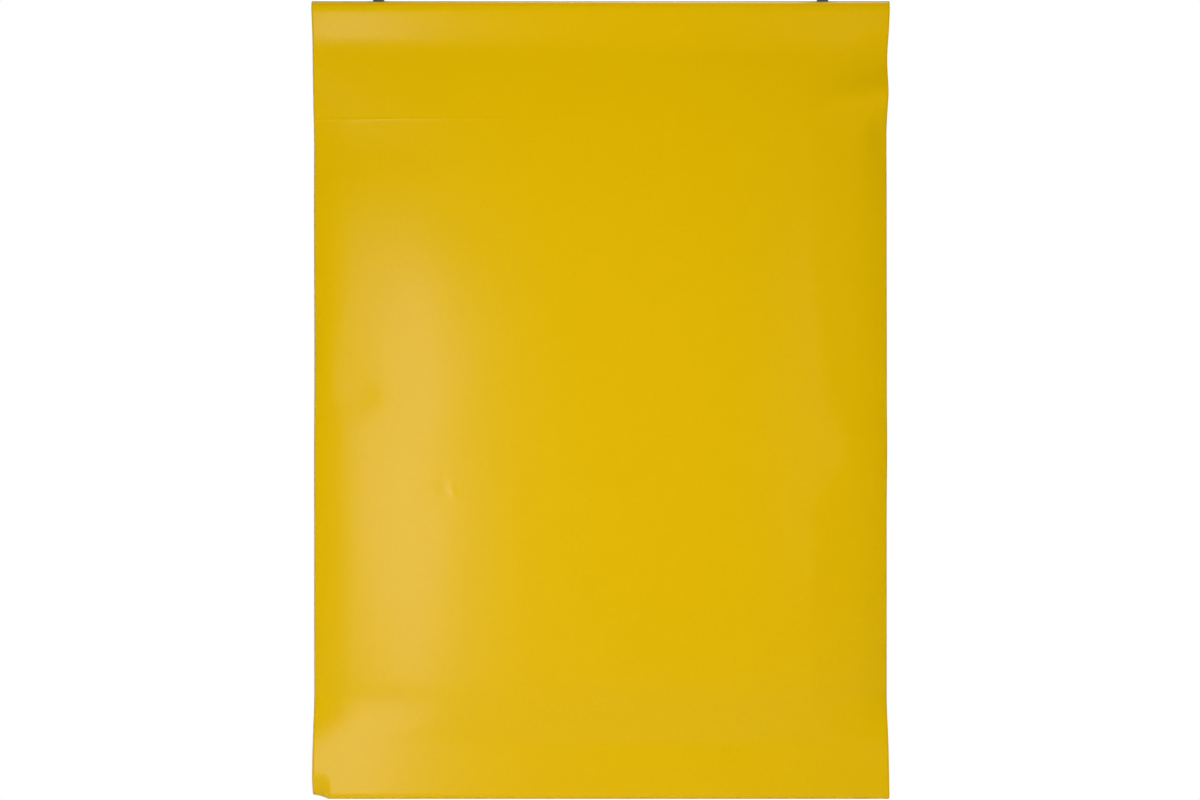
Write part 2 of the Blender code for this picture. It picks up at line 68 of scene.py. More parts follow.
SHEET_LOW, SHEET_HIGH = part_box("curtain_sheet")
SHEET_CENTRE_Z = (SHEET_LOW.z + SHEET_HIGH.z) / 2
HALF_WIDTH = SHEET_HIGH.x
HALF_HEIGHT = (SHEET_HIGH.z - SHEET_LOW.z) / 2
RAIL_LOW, RAIL_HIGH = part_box("top_rail")
TUBE_LOW, TUBE_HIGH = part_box("bottom_tube")
RAIL_RADIUS = (RAIL_HIGH.z - RAIL_LOW.z) / 2
TUBE_RADIUS = (TUBE_HIGH.z - TUBE_LOW.z) / 2
RAIL_Z = (RAIL_HIGH.z + RAIL_LOW.z) / 2
TUBE_Z = (TUBE_HIGH.z + TUBE_LOW.z) / 2
HANG_X = JOINTS["right_hook_swing"].x
EYE_Z = JOINTS["left_hook_swing"].z
GATE = JOINTS["right_gate_open"] - JOINTS["right_hook_swing"]
GAP = 0.0003  # between pieces that touch
FLOOR_BACK = 1.2  # how far the floor goes on behind the curtain
FLOOR_THICK = 0.02
PICTURE_SHAPE = 1.5  # width over height


# ------------------------------------------------------------------------------------ settings
def length(name, description, default):
    return FloatProperty(name=name, description=description, default=default, unit="LENGTH")


def share(name, description, default):
    return FloatProperty(name=name, description=description, default=default, min=0, max=1)


def colour(name, description, default):
    return FloatVectorProperty(
        name=name, description=description, default=default, subtype="COLOR", min=0, max=1
    )


class SheetSettings(bpy.types.PropertyGroup):
    colour: colour("Colour", "PVC of the curtain", (0.760, 0.468, 0.0004))
    roughness: share("Roughness", "Smaller is glossier", 0.255)
    thickness: length("Thickness", "Of one ply", 0.001)
    sleeve_depth: length("Sleeve depth", "From the sheet's edge to the weld", 0.091)
    weld_width: length("Weld width", "Height of the welded band", 0.030)
    fillet: length("Sleeve bend", "Bend where a sleeve's front ply begins", 0.20)
    row: length("Row spacing", "Between rows of the mesh", 0.010)
    lean: length("Lean", "How far the middle stands forward of the upper weld", 0.004)
    bow: length("Bow", "How far the left part bows back", 0.019)
    curl: length("Curl", "How far the left edge curls back beyond the bow", 0.008)
    fold_slope: FloatProperty(name="Fold", description="Slope right of the fold", default=0.092)
    crease: length("Crease", "Height of the packing crease", 0.0004)
    tuck: length("Tuck", "How far the right edge is pushed back under the upper sleeve", 0.017)
    waviness: length("Waviness", "Of the slow waves over the middle", 0.004)
    corner_lift: length("Corner lift", "Of the lower left corner, past the tube's end", 0.007)


class MetalSettings(bpy.types.PropertyGroup):
    zinc: colour("Zinc", "Bright zinc plate", (0.66, 0.67, 0.68))
    galvanised: colour("Galvanised", "Hot-dipped tube", (0.52, 0.54, 0.56))
    spring: colour("Spring steel", "Bare rivets and springs", (0.46, 0.46, 0.47))
    nylon: colour("Nylon", "Black saddles and plugs", (0.022, 0.022, 0.024))
    hook_wire: length("Hook wire", "Diameter of the snap hook's wire", 0.008)
    ring_wire: length("Ring wire", "Diameter of the eye bolt's ring", 0.008)
    eye_wire: length("Eye wire", "Diameter of the eye plate's wire", 0.006)
    bolt: length("Bolt", "Diameter of the eye bolt's shank", 0.008)
    screw: length("Screw", "Diameter of a plate screw", 0.005)
    keeper: length("Retaining screw", "Diameter of a retaining screw", 0.004)
    rivet: length("Rivet", "Diameter of a gate's rivet", 0.003)
    sides: IntProperty(name="Sides", description="Of a round wire", default=32, min=8)


class StageSettings(bpy.types.PropertyGroup):
    floor: colour("Floor", "Plain pale floor", (0.80, 0.80, 0.79))
    floor_gap: length("Floor gap", "Under the curtain", 0.30)
    lens: FloatProperty(name="Lens", description="Focal length in millimetres", default=50)
    view_height: length("View height", "What the picture takes in at the sheet", 1.8056)
    view_shift: length("View shift", "Of the camera to the left", 0.0012)


def settings():
    scene = bpy.context.scene
    return scene.curtain_sheet, scene.curtain_metal, scene.curtain_stage


# ------------------------------------------------------------------------------ node arithmetic
class Field:
    """A number that varies over a surface. Arithmetic on it adds nodes to its tree."""

    def __init__(self, tree, socket):
        self.tree = tree
        self.socket = socket

    def maths(self, operation, *others):
        node = self.tree.nodes.new("ShaderNodeMath")
        node.operation = operation
        for entry, value in zip(node.inputs, (self, *others)):
            feed(self.tree, entry, value)
        return Field(self.tree, node.outputs[0])

    def ramp(self, low, high, start=0, end=1):
        """Goes smoothly from start at low to end at high."""
        node = self.tree.nodes.new("ShaderNodeMapRange")
        node.interpolation_type = "SMOOTHSTEP"
        for entry, value in zip(node.inputs, (self, low, high, start, end)):
            feed(self.tree, entry, value)
        return Field(self.tree, node.outputs[0])

    def bump(self, centre, width):
        """A round hill, 1 at the centre and 0.37 at the width."""
        away = (self - centre) / width
        return (away * away * -1).exp()

    def beyond(self, start, soft):
        """Zero before start, and the distance past it after, with a soft turn between."""
        away = self - start
        return ((away * away + soft * soft).maths("SQRT") + away) * 0.5

    def exp(self):
        return self.maths("EXPONENT")

    def above(self, floor):
        return self.maths("MAXIMUM", floor)

    def __add__(self, other):
        return self.maths("ADD", other)

    def __sub__(self, other):
        return self.maths("SUBTRACT", other)

    def __rsub__(self, other):
        return self.maths("MULTIPLY", -1).maths("ADD", other)

    def __mul__(self, other):
        return self.maths("MULTIPLY", other)

    def __truediv__(self, other):
        return self.maths("DIVIDE", other)

    def __rtruediv__(self, other):
        return self.maths("POWER", -1.0) * other


def feed(tree, entry, value):
    """Gives a socket a constant, or links it to a field, a socket or a node's first output."""
    if isinstance(value, Field):
        value = value.socket
    if isinstance(value, bpy.types.Node):
        value = value.outputs[0]
    if isinstance(value, bpy.types.NodeSocket):
        tree.links.new(value, entry)
    else:
        entry.default_value = value


def node(tree, kind, inputs=(), **values):
    made = tree.nodes.new(kind)
    for name, value in values.items():
        setattr(made, name, value)
    for name, value in dict(inputs).items():
        feed(tree, made.inputs[name], value)
    return made


SOCKETS = {float: "Float", int: "Int", tuple: "Color"}


def new_tree(name, kind, inputs, outputs):
    """A node group with named sockets. Each is given its default value, or its type in words."""
    tree = bpy.data.node_groups.new(name, kind)
    for side, sockets in (("INPUT", inputs), ("OUTPUT", outputs)):
        for label, value in sockets.items():
            sort = SOCKETS.get(type(value), value)
            kind = "NodeSocket" + sort
            socket = tree.interface.new_socket(label, in_out=side, socket_type=kind)
            if sort != value:
                socket.default_value = value
    given = tree.nodes.new("NodeGroupInput")
    result = tree.nodes.new("NodeGroupOutput")
    return tree, given.outputs, result.inputs


def geometry_tree(name, inputs):
    """A Geometry Nodes group, which also takes a geometry and a material."""
    inputs = {"Geometry": "Geometry", **inputs, "Material": "Material"}
    return new_tree(name, "GeometryNodeTree", inputs, {"Geometry": "Geometry"})


def axes(tree, vector):
    """The X, Y and Z of a vector, as fields."""
    split = node(tree, "ShaderNodeSeparateXYZ", {0: vector})
    return [Field(tree, axis) for axis in split.outputs]


def socket_name(word):
    return word.replace("_", " ").capitalize()


def varying(tree, kind, vector, output, feature=None, **inputs):
    """A texture's output as a field, with its inputs given by their names."""
    made = node(tree, kind, {"Vector": vector})
    if feature:
        made.feature = feature
    for name, value in inputs.items():
        feed(tree, made.inputs[socket_name(name)], value)
    return Field(tree, made.outputs[output])


def blend_colour(tree, factor, one, other):
    """The output of a mix of two colours."""
    mix = node(tree, "ShaderNodeMix", data_type="RGBA")
    feed(tree, mix.inputs["Factor"], factor)
    feed(tree, mix.inputs[6], one)
    feed(tree, mix.inputs[7], other)
    return mix.outputs[2]


def once(maker):
    """Keeps what a function makes the first time, for its later calls."""
    kept = []

    def get():
        if not kept:
            kept.append(maker())
        return kept[0]

    return get


# ------------------------------------------------------------------------------ mesh and pieces
def add_object(name, data):
    made = bpy.data.objects.new(name, data)
    bpy.context.scene.collection.objects.link(made)
    return made


def mesh_object(name, bm):
    mesh = bpy.data.meshes.new(name)
    bm.to_mesh(mesh)
    bm.free()
    return add_object(name, mesh)


def plain(made):
    """Turns an object's modifiers into a plain mesh, with its place in the mesh."""
    drawn = made.evaluated_get(bpy.context.evaluated_depsgraph_get())
    mesh = bpy.data.meshes.new_from_object(drawn)
    mesh.transform(made.matrix_world)
    made.modifiers.clear()
    made.data = mesh
    made.matrix_world = Matrix.Identity(4)
    return made


def run_tree(made, tree, **inputs):
    """Adds a Geometry Nodes modifier, with its inputs set by their sockets' identifiers."""
    modifier = made.modifiers.new(tree.name, "NODES")
    modifier.node_group = tree
    identifiers = {
        item.name: item.identifier
        for item in tree.interface.items_tree
        if item.item_type == "SOCKET" and item.in_out == "INPUT"
    }
    for name, value in inputs.items():
        modifier[identifiers[socket_name(name)]] = value
    return plain(made)


def round_off(made, width, segments=3, angle=35):
    bevel = made.modifiers.new("Edges", "BEVEL")
    bevel.width = width
    bevel.segments = segments
    bevel.limit_method = "ANGLE"
    bevel.angle_limit = radians(angle)
    bevel.harden_normals = True
    return made


def unite(made, *others, operation="UNION"):
    """Joins shapes on, or cuts them out, and removes them."""
    for other in others:
        modifier = made.modifiers.new("Boolean", "BOOLEAN")
        modifier.operation = operation
        modifier.object = other
    plain(made)
    for other in others:
        bpy.data.objects.remove(other, do_unlink=True)
    return made


def cut(made, *tools):
    return unite(made, *tools, operation="DIFFERENCE")


def smooth(made, angle=40):
    made.data.shade_smooth()
    made.data.set_sharp_from_angle(angle=radians(angle))
    return made


@once
def hardware():
    """Everything but the sheet, for the light that reaches only these pieces."""
    return bpy.data.collections.new("Hardware")


def finish_piece(made, name, body, slot, *nodes):
    """Names a piece, paints it as its slot asks, hangs it on its body and hides the frame's nodes
    that it stands for.
    """
    made.name = name
    made.data.name = name
    paint(made, MATERIALS[slot]())
    if slot != "pvc_sheet":
        hardware().objects.link(made)
    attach(made, body)
    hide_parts(*nodes)


def paint(made, material):
    made.data.materials.clear()
    made.data.materials.append(material)


def arc(centre, radius, start, end, steps):
    turns = [start + (end - start) * k / steps for k in range(steps + 1)]
    return [(centre[0] + radius * cos(a), centre[1] + radius * sin(a)) for a in turns]


def path_object(points):
    bm = bmesh.new()
    corners = [bm.verts.new(point) for point in points]
    for here, there in zip(corners, corners[1:]):
        bm.edges.new((here, there))
    return mesh_object("path", bm)


def bent_wire(points, diameter):
    """A round wire with closed ends along a path, made by the Bent wire tree."""
    made = run_tree(
        path_object(points),
        wire_tree(),
        diameter=diameter,
        sides=settings()[1].sides,
        material=zinc_material(),
    )
    return smooth(made, 60)


def turned(profile, sides=48, twist=None):
    """Turns (radius, height) points, listed from the bottom up, about Z.

    twist is an optional function of height and angle that is added to the radius, for a thread.
    """
    bm = bmesh.new()
    rings = []
    for radius, height in profile:
        if radius < 1e-7:
            rings.append([bm.verts.new((0, 0, height))])
            continue
        ring = []
        for k in range(sides):
            angle = 2 * pi * k / sides
            r = radius + (twist(height, angle) if twist else 0)
            ring.append(bm.verts.new((r * cos(angle), r * sin(angle), height)))
        rings.append(ring)
    for low, high in zip(rings, rings[1:]):
        for k in range(sides):
            spots = ((low, k), (low, k + 1), (high, k + 1), (high, k))
            corners = [ring[spot % len(ring)] for ring, spot in spots]
            bm.faces.new(list(dict.fromkeys(corners)))
    return smooth(mesh_object("turned", bm))


def pressed(outline, thickness):
    """A flat shape with its outline in the XY plane, centred on its thickness."""
    bm = bmesh.new()
    face = bm.faces.new([bm.verts.new((x, y, -thickness / 2)) for x, y in outline])
    bmesh.ops.recalc_face_normals(bm, faces=[face])
    if face.normal.z > 0:
        face.normal_flip()
    grown = bmesh.ops.extrude_face_region(bm, geom=[face])
    lifted = [part for part in grown["geom"] if isinstance(part, bmesh.types.BMVert)]
    bmesh.ops.translate(bm, verts=lifted, vec=(0, 0, thickness))
    bmesh.ops.recalc_face_normals(bm, faces=bm.faces)
    return mesh_object("pressed", bm)


def rod(radius, depth):
    """A plain rod about Z, used to drill another piece."""
    end = depth / 2
    return turned([(0, -end), (radius, -end), (radius, end), (0, end)], 32)


def block(x, y, z):
    return pressed([(-x / 2, -y / 2), (x / 2, -y / 2), (x / 2, y / 2), (-x / 2, y / 2)], z)


def at(made, x=0, y=0, z=0, turn=None):
    """Places an object, with its place put in its mesh."""
    move = Matrix.Translation((x, y, z))
    made.data.transform(move @ turn if turn else move)
    return made


TURN_X = Matrix.Rotation(pi / 2, 4, "Y")  # lays a shape's Z along X
TURN_Y = Matrix.Rotation(-pi / 2, 4, "X")  # lays a shape's Z along Y
STAND = Matrix.Rotation(pi / 2, 4, "X")  # stands a shape's Y up along Z


# ---------------------------------------------------------------------------- geometry node trees
def end_tree(tree, last, given, result):
    """Ends a tree with real geometry in the given material."""
    real = node(tree, "GeometryNodeRealizeInstances", {"Geometry": last})
    inputs = {"Geometry": real, "Material": given["Material"]}
    feed(tree, result["Geometry"], node(tree, "GeometryNodeSetMaterial", inputs))
    return tree


def swept_wire(tree, path, diameter, sides):
    """A round wire with closed ends along a curve."""
    size = {"Resolution": sides, "Radius": Field(tree, diameter) * 0.5}
    section = node(tree, "GeometryNodeCurvePrimitiveCircle", size)
    inputs = {"Curve": path, "Profile Curve": section, "Fill Caps": True}
    return node(tree, "GeometryNodeCurveToMesh", inputs)


@once
def wire_tree():
    """A round wire of a given diameter along a path of edges."""
    tree, given, result = geometry_tree("Bent wire", {"Diameter": 0.008, "Sides": 32})
    path = node(tree, "GeometryNodeMeshToCurve", {"Mesh": given["Geometry"]})
    wire = swept_wire(tree, path, given["Diameter"], given["Sides"])
    merged = node(tree, "GeometryNodeMergeByDistance", {"Geometry": wire, "Distance": 1e-7})
    return end_tree(tree, merged, given, result)


@once
def coil_tree():
    """A helical spring about Z, with named sizes."""
    sizes = {"Turns": 5.0, "Radius": 0.0015, "Height": 0.0083, "Wire": 0.0007}
    tree, given, result = geometry_tree("Coil spring", sizes)
    inputs = {
        "Resolution": 28,
        "Rotations": given["Turns"],
        "Start Radius": given["Radius"],
        "End Radius": given["Radius"],
        "Height": given["Height"],
    }
    helix = node(tree, "GeometryNodeCurveSpiral", inputs)
    return end_tree(tree, swept_wire(tree, helix, given["Wire"], 10), given, result)


@once
def copies_tree():
    """Copies of one shape at each point of a mesh, turned by the points' own angle about Z."""
    tree, given, result = geometry_tree("Place copies", {"Shape": "Object"})
    shape = node(tree, "GeometryNodeObjectInfo", {"Object": given["Shape"]})
    angle = node(tree, "GeometryNodeInputNamedAttribute", {"Name": "turn"}, data_type="FLOAT")
    turn = node(tree, "ShaderNodeCombineXYZ", {"Z": angle.outputs["Attribute"]})
    inputs = {
        "Points": given["Geometry"],
        "Instance": shape.outputs["Geometry"],
        "Rotation": turn,
    }
    copies = node(tree, "GeometryNodeInstanceOnPoints", inputs)
    return end_tree(tree, copies, given, result)


def copy_to(shape, places, material):
    """One mesh with a copy of the shape at each (x, y, z, angle), and the shape removed."""
    bm = bmesh.new()
    layer = bm.verts.layers.float.new("turn")
    for x, y, z, angle in places:
        bm.verts.new((x, y, z))[layer] = angle
    points = mesh_object("points", bm)
    run_tree(points, copies_tree(), shape=shape, material=material)
    bpy.data.objects.remove(shape, do_unlink=True)
    return points


SET_OF_SHEET = ("lean", "bow", "curl", "fold_slope", "crease", "tuck", "waviness")
CREASE_BELOW_WELD = 0.145
BOW_START = 0.10  # left of the middle
CURL_WIDTH = 0.115  # from the left edge
FOLD_START = 0.474  # right of the middle
RIGHT_EDGE_WIDTH = 0.09
RIGHT_EDGE_TURN = 0.011
FARTHEST_BACK = 0.028


@once
def sheet_tree():
    """Moves a straight sheet's points back or forward, into the set that the hung sheet has.

    x and z are measured from the middle of the sheet. Between the sleeves the left part bows back
    to a curled edge, and the right part turns back along a soft fold. Near the top the sheet leans
    back to the weld above a packing crease.
    """
    sizes = {"Half width": 0.65, "Middle": 0.0, "Weld line": 0.78}
    sizes |= {socket_name(name): 0.0 for name in SET_OF_SHEET}
    tree, given, result = geometry_tree("Set of the sheet", sizes)

    def value(name):
        return Field(tree, given[name])

    place = node(tree, "GeometryNodeInputPosition")
    x, _, z = axes(tree, place)
    z -= value("Middle")
    weld = value("Weld line")
    half = value("Half width")

    crease_z = weld - CREASE_BELOW_WELD
    low_free = z.ramp(weld * -1 - 0.02, weld * -1 + 0.12)
    free = z.ramp(weld + 0.02, weld - 0.23) * low_free
    folded = z.ramp(weld - 0.070, weld - 0.190) * low_free

    from_left = (x * -1 - BOW_START).above(0) / (half - BOW_START)
    bow = from_left.maths("POWER", 2.0) * value("Bow")
    uneven = z.bump(0.10, 0.12) * 0.16 - z.bump(-0.14, 0.12) * 0.14 - z.bump(0.45, 0.12) * 0.20
    bow = bow * (uneven + 1)
    curl_width = CURL_WIDTH - z.bump(0.10, 0.12) * 0.055
    edge = (x * -1 - half + curl_width).above(0) / curl_width
    curl = edge.maths("POWER", 3.0) * value("Curl")

    nose = z.ramp(0.32, 0.0) * z.ramp(-0.26, -0.15) * 0.030 + z.bump(-0.105, 0.075) * 0.052
    fold = (x - nose).beyond(FOLD_START, 0.010) * value("Fold slope")
    right_edge = (x - half + RIGHT_EDGE_WIDTH).above(0) / RIGHT_EDGE_WIDTH
    fold += right_edge * right_edge * RIGHT_EDGE_TURN
    right_bow = (x - 0.15).above(0).maths("POWER", 2.0) * 0.012

    leaning = (weld - z).above(0).maths("MINIMUM", CREASE_BELOW_WELD)
    lean = leaning / CREASE_BELOW_WELD * (z + weld).ramp(0.0, 0.15) * value("Lean") * -1

    line = z - crease_z - (x + half) * 0.004
    ridge = (line.maths("ABSOLUTE") * -1 / 0.0028).exp() * x.ramp(0.14, -0.30)
    crease = ridge * value("Crease") * -1

    dimple = dent(x, z, -0.336, -0.203, 0.009, 0.017, 35, -0.0008)
    dimple += dent(x, z, -0.349, -0.194, 0.016, 0.023, 35, 0.0005)
    pinch = dent(x, z, -0.578, 0.008, 0.055, 0.052, 0, 0.0024)
    pinch += dent(x, z, -0.529, 0.014, 0.026, 0.032, 0, 0.0007)
    outward = (x - 0.46).above(0) / (half - 0.46)
    hump_z = outward * 0.055 + (weld - 0.070)
    tucked = z.ramp(hump_z - 0.075, hump_z + 0.004) * z.ramp(hump_z + 0.090, hump_z + 0.006)
    tuck = outward.maths("POWER", 1.2) * tucked * value("Tuck")
    kink = (z - crease_z + 0.025).above(0) / 0.064
    kink_x = kink * kink * 0.029 + (half - 0.046)
    kinked = z.ramp(crease_z + 0.060, crease_z + 0.030) * z.ramp(crease_z - 0.16, crease_z - 0.02)
    wrinkle = (x - kink_x).beyond(0.0, 0.002) * kinked * 0.16
    waves = varying(tree, "ShaderNodeTexNoise", place, "Fac", scale=3.2, detail=1.5)
    waves = (waves - 0.5) * free * value("Waviness")

    back = (bow + curl + right_bow) * free + fold * folded + waves
    back = back + lean + crease + dimple + pinch + wrinkle + tuck
    back = back.maths("SMOOTH_MIN", FARTHEST_BACK, 0.006)
    move = node(tree, "ShaderNodeCombineXYZ", {"Y": back})
    inputs = {"Geometry": given["Geometry"], "Offset": move}
    return end_tree(tree, node(tree, "GeometryNodeSetPosition", inputs), given, result)


def dent(x, z, at_x, at_z, wide, tall, tilt, depth):
    """A small oval hollow, turned by tilt degrees. A negative depth stands it forward."""
    turn = radians(tilt)
    across = (x - at_x) * cos(turn) + (z - at_z) * sin(turn)
    along = (z - at_z) * cos(turn) - (x - at_x) * sin(turn)
    return across.bump(0.0, wide) * along.bump(0.0, tall) * depth


# ---------------------------------------------------------------------------------- the sheet
def corner_bend(before, corner, after, radius, steps=8):
    """Rounds the corner between two straight runs, given the points before and after it."""
    corner = Vector(corner)
    back = (Vector(before) - corner).normalized()
    on = (Vector(after) - corner).normalized()
    half = back.angle(on) / 2
    reach = radius / tan(half)
    middle = corner + (back + on).normalized() * radius / sin(half)
    start = corner + back * reach - middle
    end = corner + on * reach - middle
    first = atan2(start.y, start.x)
    sweep = (atan2(end.y, end.x) - first + pi) % (2 * pi) - pi
    return arc(middle, radius, first, first + sweep, steps)


def sleeve_line(sheet, tube_z, tube_radius, edge_z, up, leaning):
    """Middle line of a sleeve's ply in the YZ plane: from the hem's end, round the tube, to the
    point where it has joined the front of the sheet. A share of the weld leans with the sleeve."""
    ply = sheet.thickness * 1.06
    inner = edge_z - up * (sheet.sleeve_depth + sheet.weld_width)
    corner_z = inner + up * sheet.weld_width * (1 - leaning)
    outer = edge_z - up * sheet.sleeve_depth
    radius = tube_radius + GAP + sheet.thickness / 2

    def touch(y, z, side):
        away = Vector((y, up * (z - tube_z)))
        return atan2(away.y, away.x) + side * atan2((away.length**2 - radius**2) ** 0.5, radius)

    front = touch(0, corner_z, -1) + 2 * pi
    lean_y = ply - tan(front) * abs(outer - corner_z)
    back = touch(lean_y, outer, 1)
    round_tube = [(y, tube_z + up * z) for y, z in arc((0, 0), radius, back, front, 40)]
    hem, corner, crest = (ply, inner), (ply, corner_z), (lean_y, outer)
    line = [hem]
    if leaning < 1:
        line += corner_bend(hem, corner, crest, sheet.weld_width * 0.8)
    line += corner_bend(line[-1], crest, round_tube[0], 0.03)
    line += round_tube
    below = (0, corner_z - up * 0.1)
    line += corner_bend(round_tube[-1], (0, corner_z), below, sheet.fillet)
    return line


def section_line(sheet):
    """The ply's middle line in two parts: the upper sleeve's and the lower sleeve's."""
    top = sleeve_line(sheet, RAIL_Z, RAIL_RADIUS, SHEET_HIGH.z, 1, 0.25)
    low = sleeve_line(sheet, TUBE_Z, TUBE_RADIUS, SHEET_LOW.z, -1, 1.0)
    return top, low


def spaced(start, end, step, fine):
    """Values from start to end a step apart, and closer near each (centre, reach, finer step)."""
    values = [start]
    while values[-1] < end:
        here = values[-1]
        now = min([step, *(small for middle, reach, small in fine if abs(here - middle) < reach)])
        values.append(here + now)
    stretch = (end - start) / (values[-1] - start)
    return [start + (v - start) * stretch for v in values]


def walk(line, distances):
    """Points at given distances along a line."""
    points = []
    k, gone = 0, 0.0
    for wanted in distances:
        while True:
            (y0, z0), (y1, z1) = line[k], line[k + 1]
            step = hypot(y1 - y0, z1 - z0)
            if gone + step >= wanted - 1e-9 or k == len(line) - 2:
                share_of = min(1.0, (wanted - gone) / step)
                points.append((y0 + (y1 - y0) * share_of, z0 + (z1 - z0) * share_of))
                break
            gone += step
            k += 1
    return points


def line_length(line):
    return sum(hypot(y1 - y0, z1 - z0) for (y0, z0), (y1, z1) in zip(line, line[1:]))


def swept_sheet(sheet):
    """The ply's middle surface, straight across, with a UV map in metres and a weld mask."""
    top, low = section_line(sheet)
    line = [*top, *reversed(low)]
    total, top_part, low_part = line_length(line), line_length(top), line_length(low)
    weld_z = HALF_HEIGHT - sheet.sleeve_depth - sheet.weld_width
    crown = (sheet.weld_width + sheet.sleeve_depth) * 1.06

    def along(z):
        """Distance along the line of a height on the front, measured from the middle."""
        front_top = walk(line, [top_part])[0][1] - SHEET_CENTRE_Z
        return top_part + front_top - z

    crease_z = weld_z - CREASE_BELOW_WELD
    fine = [
        (crown, 0.032, 0.0034),  # round the rail
        (total - crown, 0.026, 0.0032),  # round the bottom tube
        (along(crease_z), 0.010, 0.0012),
        (along(crease_z + 0.045), 0.050, 0.005),  # the tuck above the crease
        (along(-0.214), 0.024, 0.0030),  # the dimple
        (along(0.01), 0.045, 0.006),  # the pinch at the left edge
        (top_part, 0.02, 0.004),
        (total - low_part, 0.02, 0.004),
    ]
    rows = spaced(0.0, total, sheet.row, fine)
    columns = spaced(
        -HALF_WIDTH,
        HALF_WIDTH,
        sheet.row,
        [(-HALF_WIDTH, 0.075, 0.005), (HALF_WIDTH, 0.085, 0.005), (-0.329, 0.024, 0.0032)],
    )
    section = walk(line, rows)
    bm = bmesh.new()
    welded = bm.verts.layers.float.new("weld")
    uv = bm.loops.layers.uv.new("UVMap")
    grid = []
    for distance, (y, z) in zip(rows, section):
        row = []
        for x in columns:
            point = bm.verts.new((x, y, z))
            from_end = min(distance, total - distance)
            point[welded] = 1.0 if from_end < sheet.weld_width else 0.0
            row.append(point)
        grid.append(row)
    for j in range(len(rows) - 1):
        for k in range(len(columns) - 1):
            spots = [(k, j), (k, j + 1), (k + 1, j + 1), (k + 1, j)]
            face = bm.faces.new([grid[row][column] for column, row in spots])
            face.smooth = True
            for loop, (column, row) in zip(face.loops, spots):
                loop[uv].uv = (columns[column], rows[row])
    return mesh_object("sheet", bm), total


def lift_corner(made, sheet):
    """Past the bottom tube's end the empty sleeve closes, and its corner rises and turns back."""
    start = TUBE_LOW.x - 0.004
    reach = start - SHEET_LOW.x
    for point in made.data.vertices:
        past = (start - point.co.x) / reach
        near = 1 - (point.co.z - SHEET_LOW.z) / 0.055
        if past > 0 and near > 0:
            amount = min(1, 1.6 * past) ** 0.7 * near**1.3
            point.co.z += sheet.corner_lift * past * near
            point.co.y += (0.013 - 0.4 * point.co.y) * amount


class CURTAIN_OT_sheet(bpy.types.Operator):
    """Sweep the PVC sheet round the rail and the bottom tube, and give it its set"""

    bl_idname = "curtain.sheet"
    bl_label = "PVC sheet"

    def execute(self, context):
        sheet = settings()[0]
        made, ply_length = swept_sheet(sheet)
        run_tree(
            made,
            sheet_tree(),
            half_width=HALF_WIDTH,
            middle=SHEET_CENTRE_Z,
            weld_line=HALF_HEIGHT - sheet.sleeve_depth - sheet.weld_width,
            material=pvc_material(),
            **{name: getattr(sheet, name) for name in SET_OF_SHEET},
        )
        lift_corner(made, sheet)
        ply = made.modifiers.new("Ply", "SOLIDIFY")
        ply.thickness = sheet.thickness
        ply.offset = 0
        plain(made)
        finish_piece(made, "pvc_curtain", "curtain", "pvc_sheet", "curtain_sheet")
        return {"FINISHED"}


# ---------------------------------------------------------------------------- what hangs it up
class CURTAIN_OT_tubes(bpy.types.Operator):
    """Finish the rail and the bottom tube, and make their end plugs"""

    bl_idname = "curtain.tubes"
    bl_label = "Tubes and plugs"

    def execute(self, context):
        for name in ("top_rail", "bottom_tube"):
            tube = frame["nodes"][name]
            paint(tube, galvanised_material())
            hardware().objects.link(tube)
        kinds = (
            ("rail", RAIL_RADIUS, RAIL_HIGH.x, RAIL_Z),
            ("bottom", TUBE_RADIUS, TUBE_HIGH.x, TUBE_Z),
        )
        for kind, radius, end_x, z in kinds:
            for label, side in SIDES:
                turn = 0 if side > 0 else pi
                plug = end_plug(radius)
                made = copy_to(plug, [(side * end_x, 0, z, turn)], nylon_material())
                name = f"{label}_{kind}_plug"
                finish_piece(made, f"{name}_moulded", "curtain", "black_nylon", name)
        return {"FINISHED"}


def end_plug(radius):
    """A moulded plug with a domed cap and ribs that grip the tube's bore. It points along +X."""
    wall = 0.002
    bore = radius - wall - GAP
    profile = [(0, -0.0175), (bore - 0.0012, -0.0175), (bore - 0.0004, -0.0165)]
    for k in range(4):
        z = -0.0140 + 0.0036 * k
        profile += [(bore - 0.0005, z - 0.0008), (bore, z), (bore - 0.0005, z + 0.0008)]
    profile += [(bore - 0.0005, GAP), (radius - 0.0002, GAP), (radius, GAP + 0.0004)]
    profile += [(radius, GAP + 0.0014), (radius - 0.0004, GAP + 0.0021)]
    profile += [(radius - 0.0012, GAP + 0.0026), (radius * 0.80, GAP + 0.00285)]
    profile += [(radius * 0.30, GAP + 0.0030), (0.0012, GAP + 0.0030), (0.0010, GAP + 0.0026)]
    profile += [(0, GAP + 0.0026)]
    return at(turned(profile, 56), turn=TURN_X)


class CURTAIN_OT_eye_bolts(bpy.types.Operator):
    """Make the eye bolts, with their saddles and lock nuts"""

    bl_idname = "curtain.eye_bolts"
    bl_label = "Eye bolts"

    def execute(self, context):
        metal = settings()[1]
        for label, side in SIDES:
            x = side * HANG_X
            name = f"{label}_eye_bolt"
            bolt = at(eye_bolt(label, metal), x=x)
            finish_piece(bolt, f"{label}_forged_eye_bolt", "curtain", "zinc_hardware", name)
            for level, up in (("upper", 1), ("lower", -1)):
                name = f"{label}_{level}_saddle"
                saddle = at(moulded_saddle(name, up), x=x)
                finish_piece(saddle, f"{name}_moulded", "curtain", "black_nylon", name)
            name = f"{label}_lock_nut"
            nut = at(hex_nut(name), x=x)
            finish_piece(nut, f"{label}_hex_nut", "curtain", "zinc_hardware", name)
        return {"FINISHED"}


